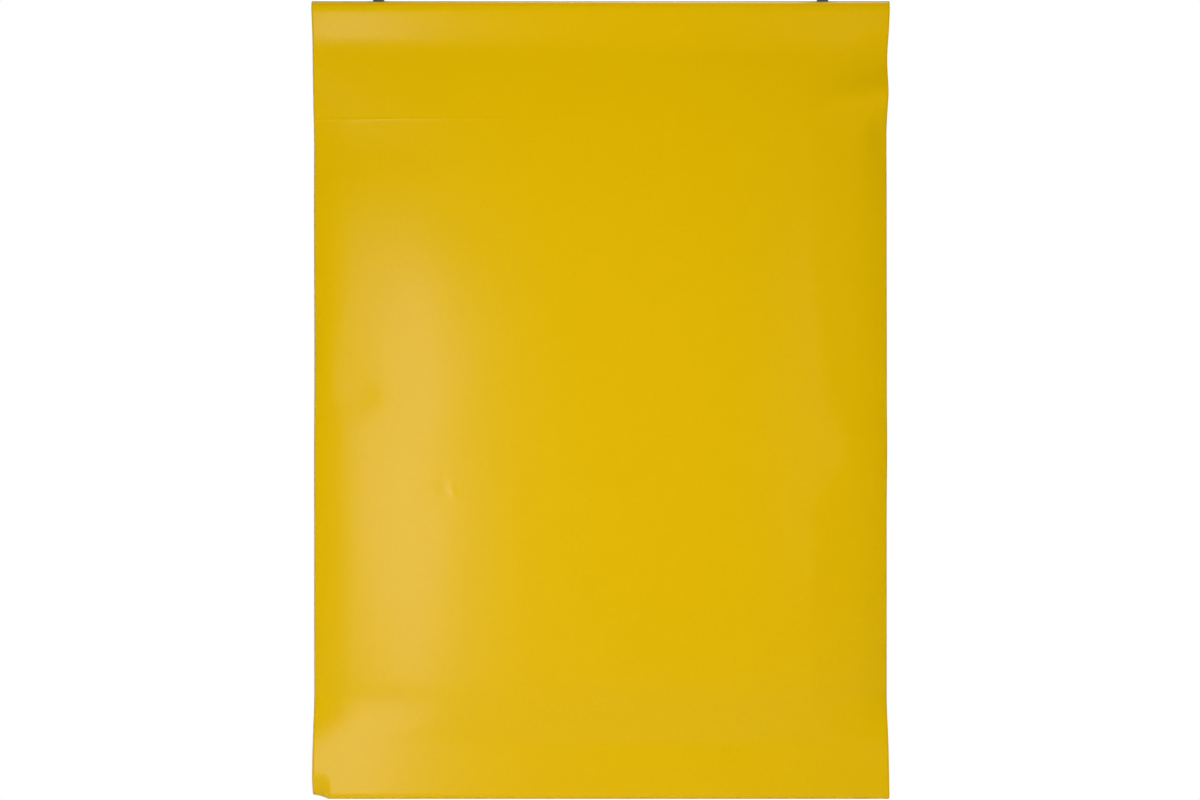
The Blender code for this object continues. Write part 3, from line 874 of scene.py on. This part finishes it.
def eye_bolt(label, metal):
    """A forged ring that flares into a collar on a rolled thread."""
    low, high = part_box(f"{label}_eye_bolt")
    outer = (high.y - low.y) / 2
    ring_radius = outer - metal.ring_wire / 2
    centre_z = high.z - outer
    bolt = metal.bolt / 2
    ring_low = centre_z - ring_radius
    collar_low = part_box(f"{label}_upper_saddle")[1].z + GAP
    collar = 0.009
    pitch = 0.00125

    def thread(z, angle):
        if z > collar_low - 0.0015:
            return 0
        turn = (z / pitch - angle / (2 * pi)) % 1
        return -0.0006 * abs(2 * turn - 1) * min(1, (collar_low - 0.0015 - z) / pitch)

    steps = int((collar_low - low.z - 0.001) / (pitch / 6))
    profile = [(0, low.z), (bolt - 0.0010, low.z)]
    profile += [(bolt, low.z + 0.001 + k * pitch / 6) for k in range(steps)]
    profile += [(bolt, collar_low), (collar - 0.0004, collar_low), (collar, collar_low + 0.0004)]
    profile += [(collar, collar_low + 0.0030), (collar - 0.0005, collar_low + 0.0037)]
    profile += [(0.0062, collar_low + 0.0042), (0.0048, collar_low + 0.0052)]
    profile += [(0.0040, ring_low - 0.0004), (0.0034, ring_low + 0.0012), (0, ring_low + 0.0018)]
    shank = turned(profile, 32, thread)
    wire = arc((ring_radius, 0), metal.ring_wire / 2, 0, 2 * pi, metal.sides)[:-1]
    ring = at(ring_of(wire, 64, 60), z=centre_z, turn=TURN_X)
    return smooth(unite(shank, ring), 50)


def moulded_saddle(node_name, up):
    """A nylon block whose hollow side fits the round tube, with rounded edges and a hole."""
    low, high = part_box(node_name)
    crown, lip = 0.002, 0.0028
    tube = RAIL_RADIUS + (0.001 + 2 * GAP if up > 0 else GAP)
    half = (high.y - low.y) / 2
    spread = atan2((tube**2 - (tube - lip) ** 2) ** 0.5, tube - lip)
    edge = [(half, crown), (half, -lip)]
    edge += arc((0, -tube), tube, pi / 2 - spread, pi / 2 + spread, 24)
    edge += [(-half, -lip), (-half, crown)]
    surface = low.z + lip
    if up < 0:
        surface = high.z - lip
        edge = [(y, -z) for y, z in reversed(edge)]
    lay = Matrix(((0, 0, 1), (1, 0, 0), (0, 1, 0))).to_4x4()
    made = at(pressed(edge, high.x - low.x), z=surface, turn=lay)
    hole = 0.0045
    cut(made, at(rod(hole, 0.03), z=surface))
    return smooth(plain(round_off(made, 0.0005, 3, 40)), 35)


def hex_nut(node_name):
    """A hexagon nut with chamfered corners and a nylon locking collar."""
    low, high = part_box(node_name)
    flats = high.y - low.y
    tall = high.z - low.z
    corners = arc((0, 0), flats / 2 / cos(pi / 6), 0, 2 * pi, 6)[:-1]
    nut = at(pressed(corners, tall * 0.8), z=high.z - tall * 0.4)
    cone = [(0, low.z - 0.001), (flats * 0.44, low.z - 0.001), (flats * 0.44, low.z)]
    cone += [(flats * 0.47, low.z + tall * 0.2), (flats * 0.60, low.z + tall * 0.28)]
    cone += [(flats * 0.60, high.z - tall * 0.08), (flats * 0.49, high.z), (0, high.z)]
    lock = [(0, low.z), (flats * 0.42, low.z), (flats * 0.45, low.z + 0.0006)]
    lock += [(flats * 0.45, low.z + tall * 0.3), (0, low.z + tall * 0.3)]
    unite(nut, turned(lock, 36))
    unite(nut, turned(cone), operation="INTERSECT")
    hole = 0.0043
    return smooth(cut(nut, at(rod(hole, 0.03), z=low.z)), 30)


class CURTAIN_OT_snap_hooks(bpy.types.Operator):
    """Bend the snap hooks, and make their gates, rivets and springs"""

    bl_idname = "curtain.snap_hooks"
    bl_label = "Snap hooks"

    def execute(self, context):
        metal = settings()[1]
        for label, side in SIDES:
            mirror = Matrix.Diagonal((side, 1, 1, 1))
            pieces = (
                (hook_body(metal), "bent_snap_hook", "hook", "zinc_hardware", "snap_hook"),
                (hook_gate(metal), "slotted_gate", "gate", "zinc_hardware", "hook_gate"),
                (gate_rivet(metal), "headed_rivet", "hook", "spring_steel", "gate_rivet"),
                (gate_spring(), "coil_spring", "gate", "spring_steel", "gate_spring"),
            )
            for made, name, body, slot, cad in pieces:
                made.data.transform(mirror)
                if side < 0:
                    made.data.flip_normals()
                at(made, x=side * HANG_X, z=EYE_Z)
                finish_piece(made, f"{label}_{name}", f"{label}_{body}", slot, f"{label}_{cad}")
        return {"FINISHED"}


FLAT = 0.0024  # thickness of the hook's heel and nose
FLAT_HALF = 0.0035  # half of their width
NOSE_BACK = -0.007 / 6  # where the nose ends inside the gate
SLOT = 0.0030  # in the gate, round the heel and the nose


def hook_body(metal):
    """The bent link, with a flattened heel for the rivet and a flattened nose."""
    low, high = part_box("right_snap_hook")
    radius = high.x - HANG_X - metal.hook_wire / 2
    reach = high.z - low.z - metal.hook_wire
    gate_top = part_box("right_hook_gate")[1].z - EYE_Z
    nose_z = gate_top + 2 * GAP
    path = [(radius, nose_z)] + arc((0, -radius), radius, 0, pi, 40)
    path += arc((0, radius - reach), radius, pi, 2 * pi, 40)
    wire = round_off(bent_wire([(x, 0, z) for x, z in path], metal.hook_wire), 0.0006, 3, 60)
    plain(wire)

    heel_low = radius - reach - 0.002 - GATE.z
    outline = [(FLAT_HALF, heel_low), *arc((0, 0), FLAT_HALF, 0, pi, 24), (-FLAT_HALF, heel_low)]
    heel = at(pressed(outline, FLAT), x=GATE.x, z=GATE.z, turn=STAND)
    cut(heel, rivet_hole(metal, 0.02))
    nose_low, nose_high = gate_top - 0.0044, nose_z + 0.002
    nose = at(
        block(FLAT_HALF - NOSE_BACK, FLAT, nose_high - nose_low),
        x=GATE.x + (FLAT_HALF + NOSE_BACK) / 2,
        z=(nose_high + nose_low) / 2,
    )
    return smooth(unite(wire, heel, nose), 40)


def rivet_hole(metal, depth):
    return at(rod(metal.rivet / 2 + GAP, depth), x=GATE.x, z=GATE.z, turn=TURN_Y)


def hook_gate(metal):
    """The gate's rod, slotted over the heel and round the nose, with rounded ends."""
    low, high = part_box("right_hook_gate")
    radius = (high.y - low.y) / 2
    bottom, top = low.z - EYE_Z, high.z - EYE_Z
    soft = 0.0006
    profile = [(0, bottom), (radius - soft, bottom), (radius - soft / 3, bottom + soft / 3)]
    profile += [(radius, bottom + soft), (radius, top - soft), (radius - soft / 3, top - soft / 3)]
    profile += [(radius - soft, top), (0, top)]
    gate = at(turned(profile, 40), x=GATE.x)
    fork_top = GATE.z + 0.0041
    under = bottom - radius
    fork = at(block(4 * radius, SLOT, fork_top - under), x=GATE.x, z=(fork_top + under) / 2)
    notch_x = GATE.x + NOSE_BACK - GAP + radius
    notch_low, notch_tall = top - 0.0050, 0.02
    notch = at(block(2 * radius, SLOT, notch_tall), x=notch_x, z=notch_low + notch_tall / 2)
    spring_room = 0.0022
    bore = at(rod(spring_room, 0.0102), x=GATE.x, z=fork_top + 0.0045)
    return smooth(cut(gate, fork, notch, bore, rivet_hole(metal, 0.03)), 35)


def gate_rivet(metal):
    """A rivet with a snap head at each end."""
    low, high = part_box("right_gate_rivet")
    shank, head = metal.rivet / 2, (high.x - low.x) / 2
    end = (high.y - low.y) / 2
    under = end - 0.001
    turns = [k * pi / 12 for k in range(1, 6)]
    dome = [(head * cos(turn), under + (end - under) * sin(turn)) for turn in turns]
    half = [(shank, under), (head, under), *dome, (0, end)]
    profile = [(r, -h) for r, h in reversed(half)] + half
    return at(turned(profile, 32), x=GATE.x, z=GATE.z, turn=TURN_Y)


def gate_spring():
    """The small coil in the gate's bore."""
    low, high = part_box("right_gate_spring")
    wire = 0.0007
    coil = run_tree(
        path_object([(0, 0, 0)]),
        coil_tree(),
        turns=5.0,
        radius=(high.x - low.x - wire) / 2,
        height=high.z - low.z - wire,
        wire=wire,
        material=spring_material(),
    )
    return at(smooth(coil, 60), x=GATE.x, z=low.z - EYE_Z + wire / 2)


class CURTAIN_OT_eye_plates(bpy.types.Operator):
    """Make the eye plates and the screws that hold them to the beam"""

    bl_idname = "curtain.eye_plates"
    bl_label = "Eye plates and screws"

    def execute(self, context):
        metal = settings()[1]
        for label, side in SIDES:
            name = f"{label}_eye_plate"
            plate = at(eye_plate(name, metal), x=side * HANG_X)
            finish_piece(plate, f"{label}_welded_eye_plate", "plates", "zinc_hardware", name)
            for number in (1, 2):
                name = f"{label}_plate_screw_{number}"
                low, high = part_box(name)
                screw = wood_screw(high.z - low.z, metal.screw, high.x - low.x, 0.004)
                turn = radians(20 + 40 * number + 15 * side)
                spot = [((low.x + high.x) / 2, 0, low.z, turn)]
                made = copy_to(screw, spot, zinc_material())
                finish_piece(made, f"{name}_threaded", "plates", "zinc_hardware", name)
        return {"FINISHED"}


def eye_plate(name, metal):
    """A pressed plate with rounded corners and a wire eye welded under it."""
    low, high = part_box(name)
    long, wide = high.x - low.x, high.y - low.y
    thick, corner = 0.004, 0.006
    outline = []
    for k, (x, y) in enumerate([(1, 1), (-1, 1), (-1, -1), (1, -1)]):
        centre = (x * (long / 2 - corner), y * (wide / 2 - corner))
        outline += arc(centre, corner, k * pi / 2, (k + 1) * pi / 2, 10)
    plate = at(pressed(outline, thick), z=high.z - thick / 2)
    hole_x = 0.020
    holes = [at(rod(metal.screw / 2 + GAP, 0.02), x=side * hole_x, z=high.z) for _, side in SIDES]
    cut(plate, *holes)
    plain(round_off(plate, 0.0005, 3, 40))
    wire = metal.eye_wire / 2
    radius = 0.009 + wire
    foot = high.z - 0.002
    bend = arc((0, low.z + wire + radius), radius, pi, 2 * pi, 40)
    path = [(0, y, z) for y, z in [(-radius, foot), *bend, (radius, foot)]]
    eye = bent_wire(path, metal.eye_wire)
    beads = [at(weld_bead(wire), y=side * radius, z=high.z - thick) for _, side in SIDES]
    return smooth(unite(plate, eye, *beads), 40)


def weld_bead(radius):
    """A fillet of weld round a wire's foot, with the ripples that the arc leaves."""
    leg = 0.0016

    def ripple(z, angle):
        return 0.00012 * sin(14 * angle) * (1 if -leg < z < 0.0002 else 0)

    profile = [(0, -leg * 1.1), (radius * 0.9, -leg * 1.1), (radius + leg * 0.10, -leg)]
    profile += [(radius + leg * 0.30, -leg * 0.62), (radius + leg * 0.62, -leg * 0.30)]
    profile += [(radius + leg, -0.00005), (radius + leg * 0.8, 0.0004), (0, 0.0004)]
    return turned(profile, 56, ripple)


def wood_screw(long, diameter, head, grip):
    """A pan head screw, point up, with a cross recess. Its head starts at Z 0, and its shank is
    plain over the grip."""
    radius = diameter / 2
    head_tall = 0.003
    pitch = diameter * 0.36
    shank_from = head_tall + grip + GAP
    tip_from = long - min(0.008, (long - shank_from) * 0.6)

    def thread(z, angle):
        if z < shank_from:
            return 0
        turn = (z / pitch - angle / (2 * pi)) % 1
        fade = min(1, (z - shank_from) / pitch) * min(1, max(0, (long - z) / 0.004))
        return (-0.30 * radius + 0.30 * radius * max(0, 1 - abs(turn - 0.5) * 5)) * fade

    half = head / 2
    profile = [(0, 0.0), (half * 0.45, 0.0), (half * 0.72, 0.0004), (half * 0.90, 0.0011)]
    profile += [(half, 0.0021), (half, head_tall - 0.0002), (half - 0.0002, head_tall)]
    profile += [(radius, head_tall), (radius, shank_from - 0.0001)]
    steps = int((tip_from - shank_from) / (pitch / 10))
    profile += [(radius, shank_from + (tip_from - shank_from) * k / steps) for k in range(steps)]
    for k in range(24):
        z = tip_from + (long - tip_from) * k / 24
        profile.append((radius * (1 - k / 24) ** 0.8 + 0.0001, z))
    profile.append((0, long))
    screw = turned(profile, 28, thread)
    reach, slot = half / 2, 0.00045
    arm = [Vector(spot) for spot in ((reach, -slot), (reach, slot), (slot, slot))]
    cross = [Matrix.Rotation(k * pi / 2, 2) @ spot for k in range(4) for spot in arm]
    return smooth(cut(screw, pressed(cross, 0.0036)), 40)


class CURTAIN_OT_retainers(bpy.types.Operator):
    """Make the screws and washers that keep the bottom tube in its sleeve"""

    bl_idname = "curtain.retainers"
    bl_label = "Retaining screws"

    def execute(self, context):
        metal = settings()[1]
        for label, _ in SIDES:
            name = f"{label}_retaining_screw"
            low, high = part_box(name)
            middle = (low + high) / 2
            screw = wood_screw(high.y - low.y, metal.keeper, high.x - low.x, 0.002)
            at(screw, middle.x, high.y, middle.z, STAND)
            finish_piece(screw, f"{label}_cross_screw", "curtain", "zinc_hardware", name)
            name = f"{label}_washer"
            low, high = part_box(name)
            middle = (low + high) / 2
            outer, thick, hole = (high.x - low.x) / 2, high.y - low.y, metal.keeper / 2 + GAP
            ring = [(hole, 0.0001), (hole + 0.0001, 0), (outer - 0.0002, 0), (outer, 0.0002)]
            ring += [(outer, thick - 0.0003), (outer - 0.0003, thick), (hole + 0.0002, thick)]
            ring += [(hole, thick - 0.0002)]
            washer = at(ring_of(ring, 40, 35), middle.x, low.y, middle.z, TURN_Y)
            finish_piece(washer, f"{label}_flat_washer", "curtain", "zinc_hardware", name)
        return {"FINISHED"}


def ring_of(profile, sides, angle):
    """Turns a closed profile of (radius, height) points about Z. Edges under the angle are soft."""
    bm = bmesh.new()
    loops = []
    for k in range(sides):
        a = 2 * pi * k / sides
        loops.append([bm.verts.new((r * cos(a), r * sin(a), h)) for r, h in profile])
    for here, there in zip(loops, loops[1:] + loops[:1]):
        for j in range(len(profile)):
            bm.faces.new((here[j - 1], there[j - 1], there[j], here[j]))
    bmesh.ops.recalc_face_normals(bm, faces=bm.faces)
    return smooth(mesh_object("ring", bm), angle)


# ----------------------------------------------------------------------------------- materials
@once
def grain_group():
    """Fine grain and soft mottling, shared by the plastics.

    Outputs a height for a bump, and a mottle from 0 to 1.
    """
    inputs = {"Vector": "Vector", "Grain size": 0.0012, "Mottle size": 0.008}
    outputs = {"Height": "Float", "Mottle": "Float"}
    tree, given, result = new_tree("Grain and mottle", "ShaderNodeTree", inputs, outputs)
    spot = given["Vector"]
    grains = 1 / Field(tree, given["Grain size"])
    patches = 1 / Field(tree, given["Mottle size"])
    noise = "ShaderNodeTexNoise"
    fine = varying(tree, noise, spot, "Fac", scale=grains, detail=3.0, roughness=0.6)
    pebble = varying(tree, "ShaderNodeTexVoronoi", spot, "Distance", "SMOOTH_F1", scale=grains)
    soft = varying(tree, noise, spot, "Fac", scale=patches, detail=4.0, roughness=0.65)
    feed(tree, result["Height"], fine * 0.6 + pebble * 0.5)
    feed(tree, result["Mottle"], soft.ramp(0.25, 0.75))
    return tree


@once
def plate_group():
    """Blotches, fine scratches and dull patches of plated or dipped steel."""
    inputs = {
        "Vector": "Vector",
        "Colour": (0.6, 0.6, 0.6, 1),
        "Dull colour": (0.4, 0.4, 0.4, 1),
        "Blotch size": 0.01,
        "Roughness": 0.3,
    }
    outputs = {"Colour": "Color", "Roughness": "Float", "Height": "Float"}
    tree, given, result = new_tree("Plated steel", "ShaderNodeTree", inputs, outputs)
    spot = given["Vector"]
    noise = "ShaderNodeTexNoise"
    cells = 1 / Field(tree, given["Blotch size"])
    blotch = varying(tree, "ShaderNodeTexVoronoi", spot, "Color", scale=cells)
    cloud = varying(tree, noise, spot, "Fac", scale=cells * 0.6, detail=5.0)
    stretch = node(tree, "ShaderNodeMapping", {"Vector": spot, "Scale": (1, 9, 9)})
    fine = varying(tree, noise, stretch.outputs[0], "Fac", scale=cells * 5, detail=2.0)
    split = node(tree, "ShaderNodeSeparateColor", {"Color": blotch})
    cell = Field(tree, split.outputs[0])
    dull = cell * 0.45 + cloud.ramp(0.3, 0.7) * 0.55
    feed(tree, result["Colour"], blend_colour(tree, dull, given["Colour"], given["Dull colour"]))
    feed(tree, result["Roughness"], Field(tree, given["Roughness"]) + dull * 0.16 + fine * 0.06)
    feed(tree, result["Height"], fine * 0.5 + cell * 0.5)
    return tree


def new_material(name):
    material = bpy.data.materials.new(name)
    material.use_nodes = True
    tree = material.node_tree
    return material, tree, tree.nodes["Principled BSDF"]


def use_group(tree, group, vector, **inputs):
    made = node(tree, "ShaderNodeGroup", node_tree=group)
    feed(tree, made.inputs["Vector"], vector)
    for name, value in inputs.items():
        feed(tree, made.inputs[socket_name(name)], value)
    return made.outputs


def set_tint(tree, shader, factor, base, low, high):
    """Colours a shader between two shades of a base colour."""
    base = Vector(base)
    tint = blend_colour(tree, factor, (*(base * low), 1), (*(base * high), 1))
    feed(tree, shader.inputs["Base Color"], tint)


def set_bump(tree, shader, height, distance):
    inputs = {"Height": height, "Distance": distance, "Strength": 1.0}
    feed(tree, shader.inputs["Normal"], node(tree, "ShaderNodeBump", inputs))


RIB_PITCH = 0.004  # of the weld bands


@once
def pvc_material():
    """Opaque golden PVC: a fine calendered grain, a faint mottle and ribbed weld bands."""
    sheet = settings()[0]
    material, tree, shader = new_material("Golden PVC")
    spot = node(tree, "ShaderNodeUVMap", uv_map="UVMap")
    grain = use_group(tree, grain_group(), spot, grain_size=0.0014, mottle_size=0.0085)
    mottle = Field(tree, grain["Mottle"])
    across, along, _ = axes(tree, spot)
    weld = node(tree, "ShaderNodeAttribute", attribute_name="weld")
    wave = 2 * pi / RIB_PITCH
    rib = ((across + along) * wave).maths("SINE") * ((across - along) * wave).maths("SINE")
    emboss = rib.ramp(-0.2, 0.6) * Field(tree, weld.outputs["Fac"])
    set_tint(tree, shader, mottle, sheet.colour, 0.985, 1.015)
    feed(tree, shader.inputs["Roughness"], mottle * 0.03 + (sheet.roughness - 0.015))
    height = Field(tree, grain["Height"]) * 0.10 + mottle * 0.10 + emboss * 0.8
    set_bump(tree, shader, height, 0.00022)
    return material


def metal_material(name, tint, dull, blotch, roughness, bump):
    material, tree, shader = new_material(name)
    spot = node(tree, "ShaderNodeTexCoord")
    look = use_group(
        tree,
        plate_group(),
        spot.outputs["Object"],
        colour=(*tint, 1),
        dull_colour=(*(Vector(tint) * dull), 1),
        blotch_size=blotch,
        roughness=roughness,
    )
    feed(tree, shader.inputs["Base Color"], look["Colour"])
    feed(tree, shader.inputs["Roughness"], look["Roughness"])
    shader.inputs["Metallic"].default_value = 1
    set_bump(tree, shader, look["Height"], bump)
    return material


@once
def zinc_material():
    return metal_material("Bright zinc plate", settings()[1].zinc, 0.80, 0.006, 0.20, 0.00003)


@once
def galvanised_material():
    return metal_material("Galvanised tube", settings()[1].galvanised, 0.66, 0.009, 0.32, 0.00004)


@once
def spring_material():
    return metal_material("Spring steel", settings()[1].spring, 0.75, 0.003, 0.25, 0.00002)


@once
def nylon_material():
    """Moulded black nylon with a fine texture."""
    material, tree, shader = new_material("Black nylon")
    spot = node(tree, "ShaderNodeTexCoord")
    place = spot.outputs["Object"]
    grain = use_group(tree, grain_group(), place, grain_size=0.0005, mottle_size=0.004)
    mottle = Field(tree, grain["Mottle"])
    set_tint(tree, shader, mottle, settings()[1].nylon, 1, 1.7)
    feed(tree, shader.inputs["Roughness"], mottle * 0.10 + 0.42)
    set_bump(tree, shader, grain["Height"], 0.00005)
    return material


@once
def floor_material():
    material, tree, shader = new_material("Pale floor")
    spot = node(tree, "ShaderNodeTexCoord")
    place = spot.outputs["Object"]
    cloud = varying(tree, "ShaderNodeTexNoise", place, "Fac", scale=1.5, detail=3.0)
    set_tint(tree, shader, cloud, settings()[2].floor, 0.98, 1)
    shader.inputs["Roughness"].default_value = 0.8
    return material


MATERIALS = {
    "pvc_sheet": pvc_material,
    "black_nylon": nylon_material,
    "zinc_hardware": zinc_material,
    "spring_steel": spring_material,
}


# ----------------------------------------------------------------------------------- the stage
class CURTAIN_OT_stage(bpy.types.Operator):
    """Make the pale floor, the soft lights, the world and the camera"""

    bl_idname = "curtain.stage"
    bl_label = "Stage"

    def execute(self, context):
        stage = settings()[2]
        floor_z = SHEET_LOW.z - stage.floor_gap
        lay_floor("floor", 4.6, 2.9, floor_z)
        # The larger slab only widens the floor that a view takes in, and throws no light back.
        lay_floor("floor_beyond", 8.0, 3.3, floor_z - 0.001).visible_diffuse = False
        make_world()
        make_lights()
        make_camera(stage)
        context.scene.view_settings.view_transform = "Standard"
        return {"FINISHED"}


def lay_floor(name, wide, deep, z):
    """A slab that begins FLOOR_BACK behind the curtain and goes on to the front."""
    slab = at(block(wide, deep, FLOOR_THICK), y=FLOOR_BACK - deep / 2, z=z - FLOOR_THICK / 2)
    slab.name = name
    slab.data.materials.append(floor_material())
    slab.visible_glossy = False
    return slab


def make_world():
    """White to the camera, and a soft light from all sides but the front, fainter from below."""
    world = bpy.data.worlds.new("Studio")
    bpy.context.scene.world = world
    world.use_nodes = True
    tree = world.node_tree
    output = tree.nodes["World Output"]
    sky = tree.nodes["Background"]
    path = node(tree, "ShaderNodeLightPath")
    spot = node(tree, "ShaderNodeTexCoord")
    _, y, z = axes(tree, spot.outputs["Generated"])
    soft = y.ramp(-0.42, 0.0, 0.0, 0.70) * z.ramp(-0.85, -0.45, 0.30, 1.0)
    seen = Field(tree, path.outputs["Is Camera Ray"])
    feed(tree, sky.inputs["Strength"], seen + (1 - seen) * soft)
    sky.inputs["Color"].default_value = (1, 1, 1, 1)
    feed(tree, output.inputs["Surface"], sky.outputs[0])


def area_light(name, place, aim, size, radiance, in_gloss=True):
    """A soft box with a given brightness. Its power follows from its area."""
    data = bpy.data.lights.new(name, "AREA")
    data.shape = "RECTANGLE"
    data.size, data.size_y = size
    data.energy = radiance * pi * size[0] * size[1]
    light = add_object(name, data)
    light.location = place
    light.rotation_euler = (Vector(aim) - Vector(place)).to_track_quat("-Z", "Y").to_euler()
    light.visible_camera = False
    light.visible_glossy = in_gloss
    data.cycles.use_multiple_importance_sampling = in_gloss
    return light


def make_lights():
    """A strong strip at the left and a faint one at the right, which show in the sheet's gloss,
    a broad fill that doesn't, a card for the hardware, and soft lights above and behind."""
    middle = SHEET_CENTRE_Z
    left, right = (-0.95, -2.5, middle - 0.33), (0.93, -2.5, middle)
    area_light("left_strip", left, (left[0], 0, left[2]), (0.20, 1.62), 5.7)
    area_light("right_strip", right, (right[0], 0, right[2]), (0.20, 1.3), 0.45)
    fill = (-0.10, -3.2, middle + 0.32)
    area_light("front_fill", fill, (fill[0], 0, fill[2]), (2.4, 2.3), 5.55, in_gloss=False)
    card = area_light("hardware_card", (0, -3.2, 0), (0, 0, 0), (6.0, 4.0), 0.85)
    card.light_linking.receiver_collection = hardware()
    area_light("top_soft", (0.3, 0.3, middle + 2.6), (0, 0, middle), (1.6, 0.8), 2.0)
    area_light("back_left", (-1.8, 2.6, middle + 0.9), (0, 0, middle), (1.4, 1.6), 2.6)
    area_light("back_right", (2.2, 2.2, middle + 0.4), (0, 0, middle), (1.2, 1.6), 1.8)


def make_camera(stage):
    """Square on to the sheet, which fills the picture's height."""
    data = bpy.data.cameras.new("Camera")
    data.lens = stage.lens
    camera = add_object("Camera", data)
    away = stage.lens / data.sensor_width * stage.view_height * PICTURE_SHAPE
    camera.location = (-stage.view_shift, -away, SHEET_CENTRE_Z)
    camera.rotation_euler = (pi / 2, 0, 0)
    bpy.context.scene.camera = camera


# ------------------------------------------------------------------------------------ add-on
class CURTAIN_PT_panel(bpy.types.Panel):
    """Lists the curtain's settings and its operators"""

    bl_label = "Welding curtain"
    bl_idname = "CURTAIN_PT_panel"
    bl_space_type = "VIEW_3D"
    bl_region_type = "UI"
    bl_category = "Curtain"

    def draw(self, context):
        for group in settings():
            box = self.layout.box()
            for name in group.bl_rna.properties.keys():
                if name not in ("rna_type", "name"):
                    box.prop(group, name)
        for operator in OPERATORS:
            self.layout.operator(operator.bl_idname)


OPERATORS = (
    CURTAIN_OT_sheet,
    CURTAIN_OT_tubes,
    CURTAIN_OT_eye_bolts,
    CURTAIN_OT_snap_hooks,
    CURTAIN_OT_eye_plates,
    CURTAIN_OT_retainers,
    CURTAIN_OT_stage,
)
SETTINGS = {
    "curtain_sheet": SheetSettings,
    "curtain_metal": MetalSettings,
    "curtain_stage": StageSettings,
}


def register():
    for part in (*SETTINGS.values(), *OPERATORS, CURTAIN_PT_panel):
        bpy.utils.register_class(part)
    for name, group in SETTINGS.items():
        setattr(bpy.types.Scene, name, PointerProperty(type=group))


def unregister():
    for name in SETTINGS:
        delattr(bpy.types.Scene, name)
    for part in (CURTAIN_PT_panel, *reversed(OPERATORS), *SETTINGS.values()):
        bpy.utils.unregister_class(part)


def main():
    register()
    bpy.ops.curtain.stage()
    bpy.ops.curtain.sheet()
    bpy.ops.curtain.tubes()
    bpy.ops.curtain.eye_bolts()
    bpy.ops.curtain.snap_hooks()
    bpy.ops.curtain.eye_plates()
    bpy.ops.curtain.retainers()


if __name__ == "__main__":
    main()
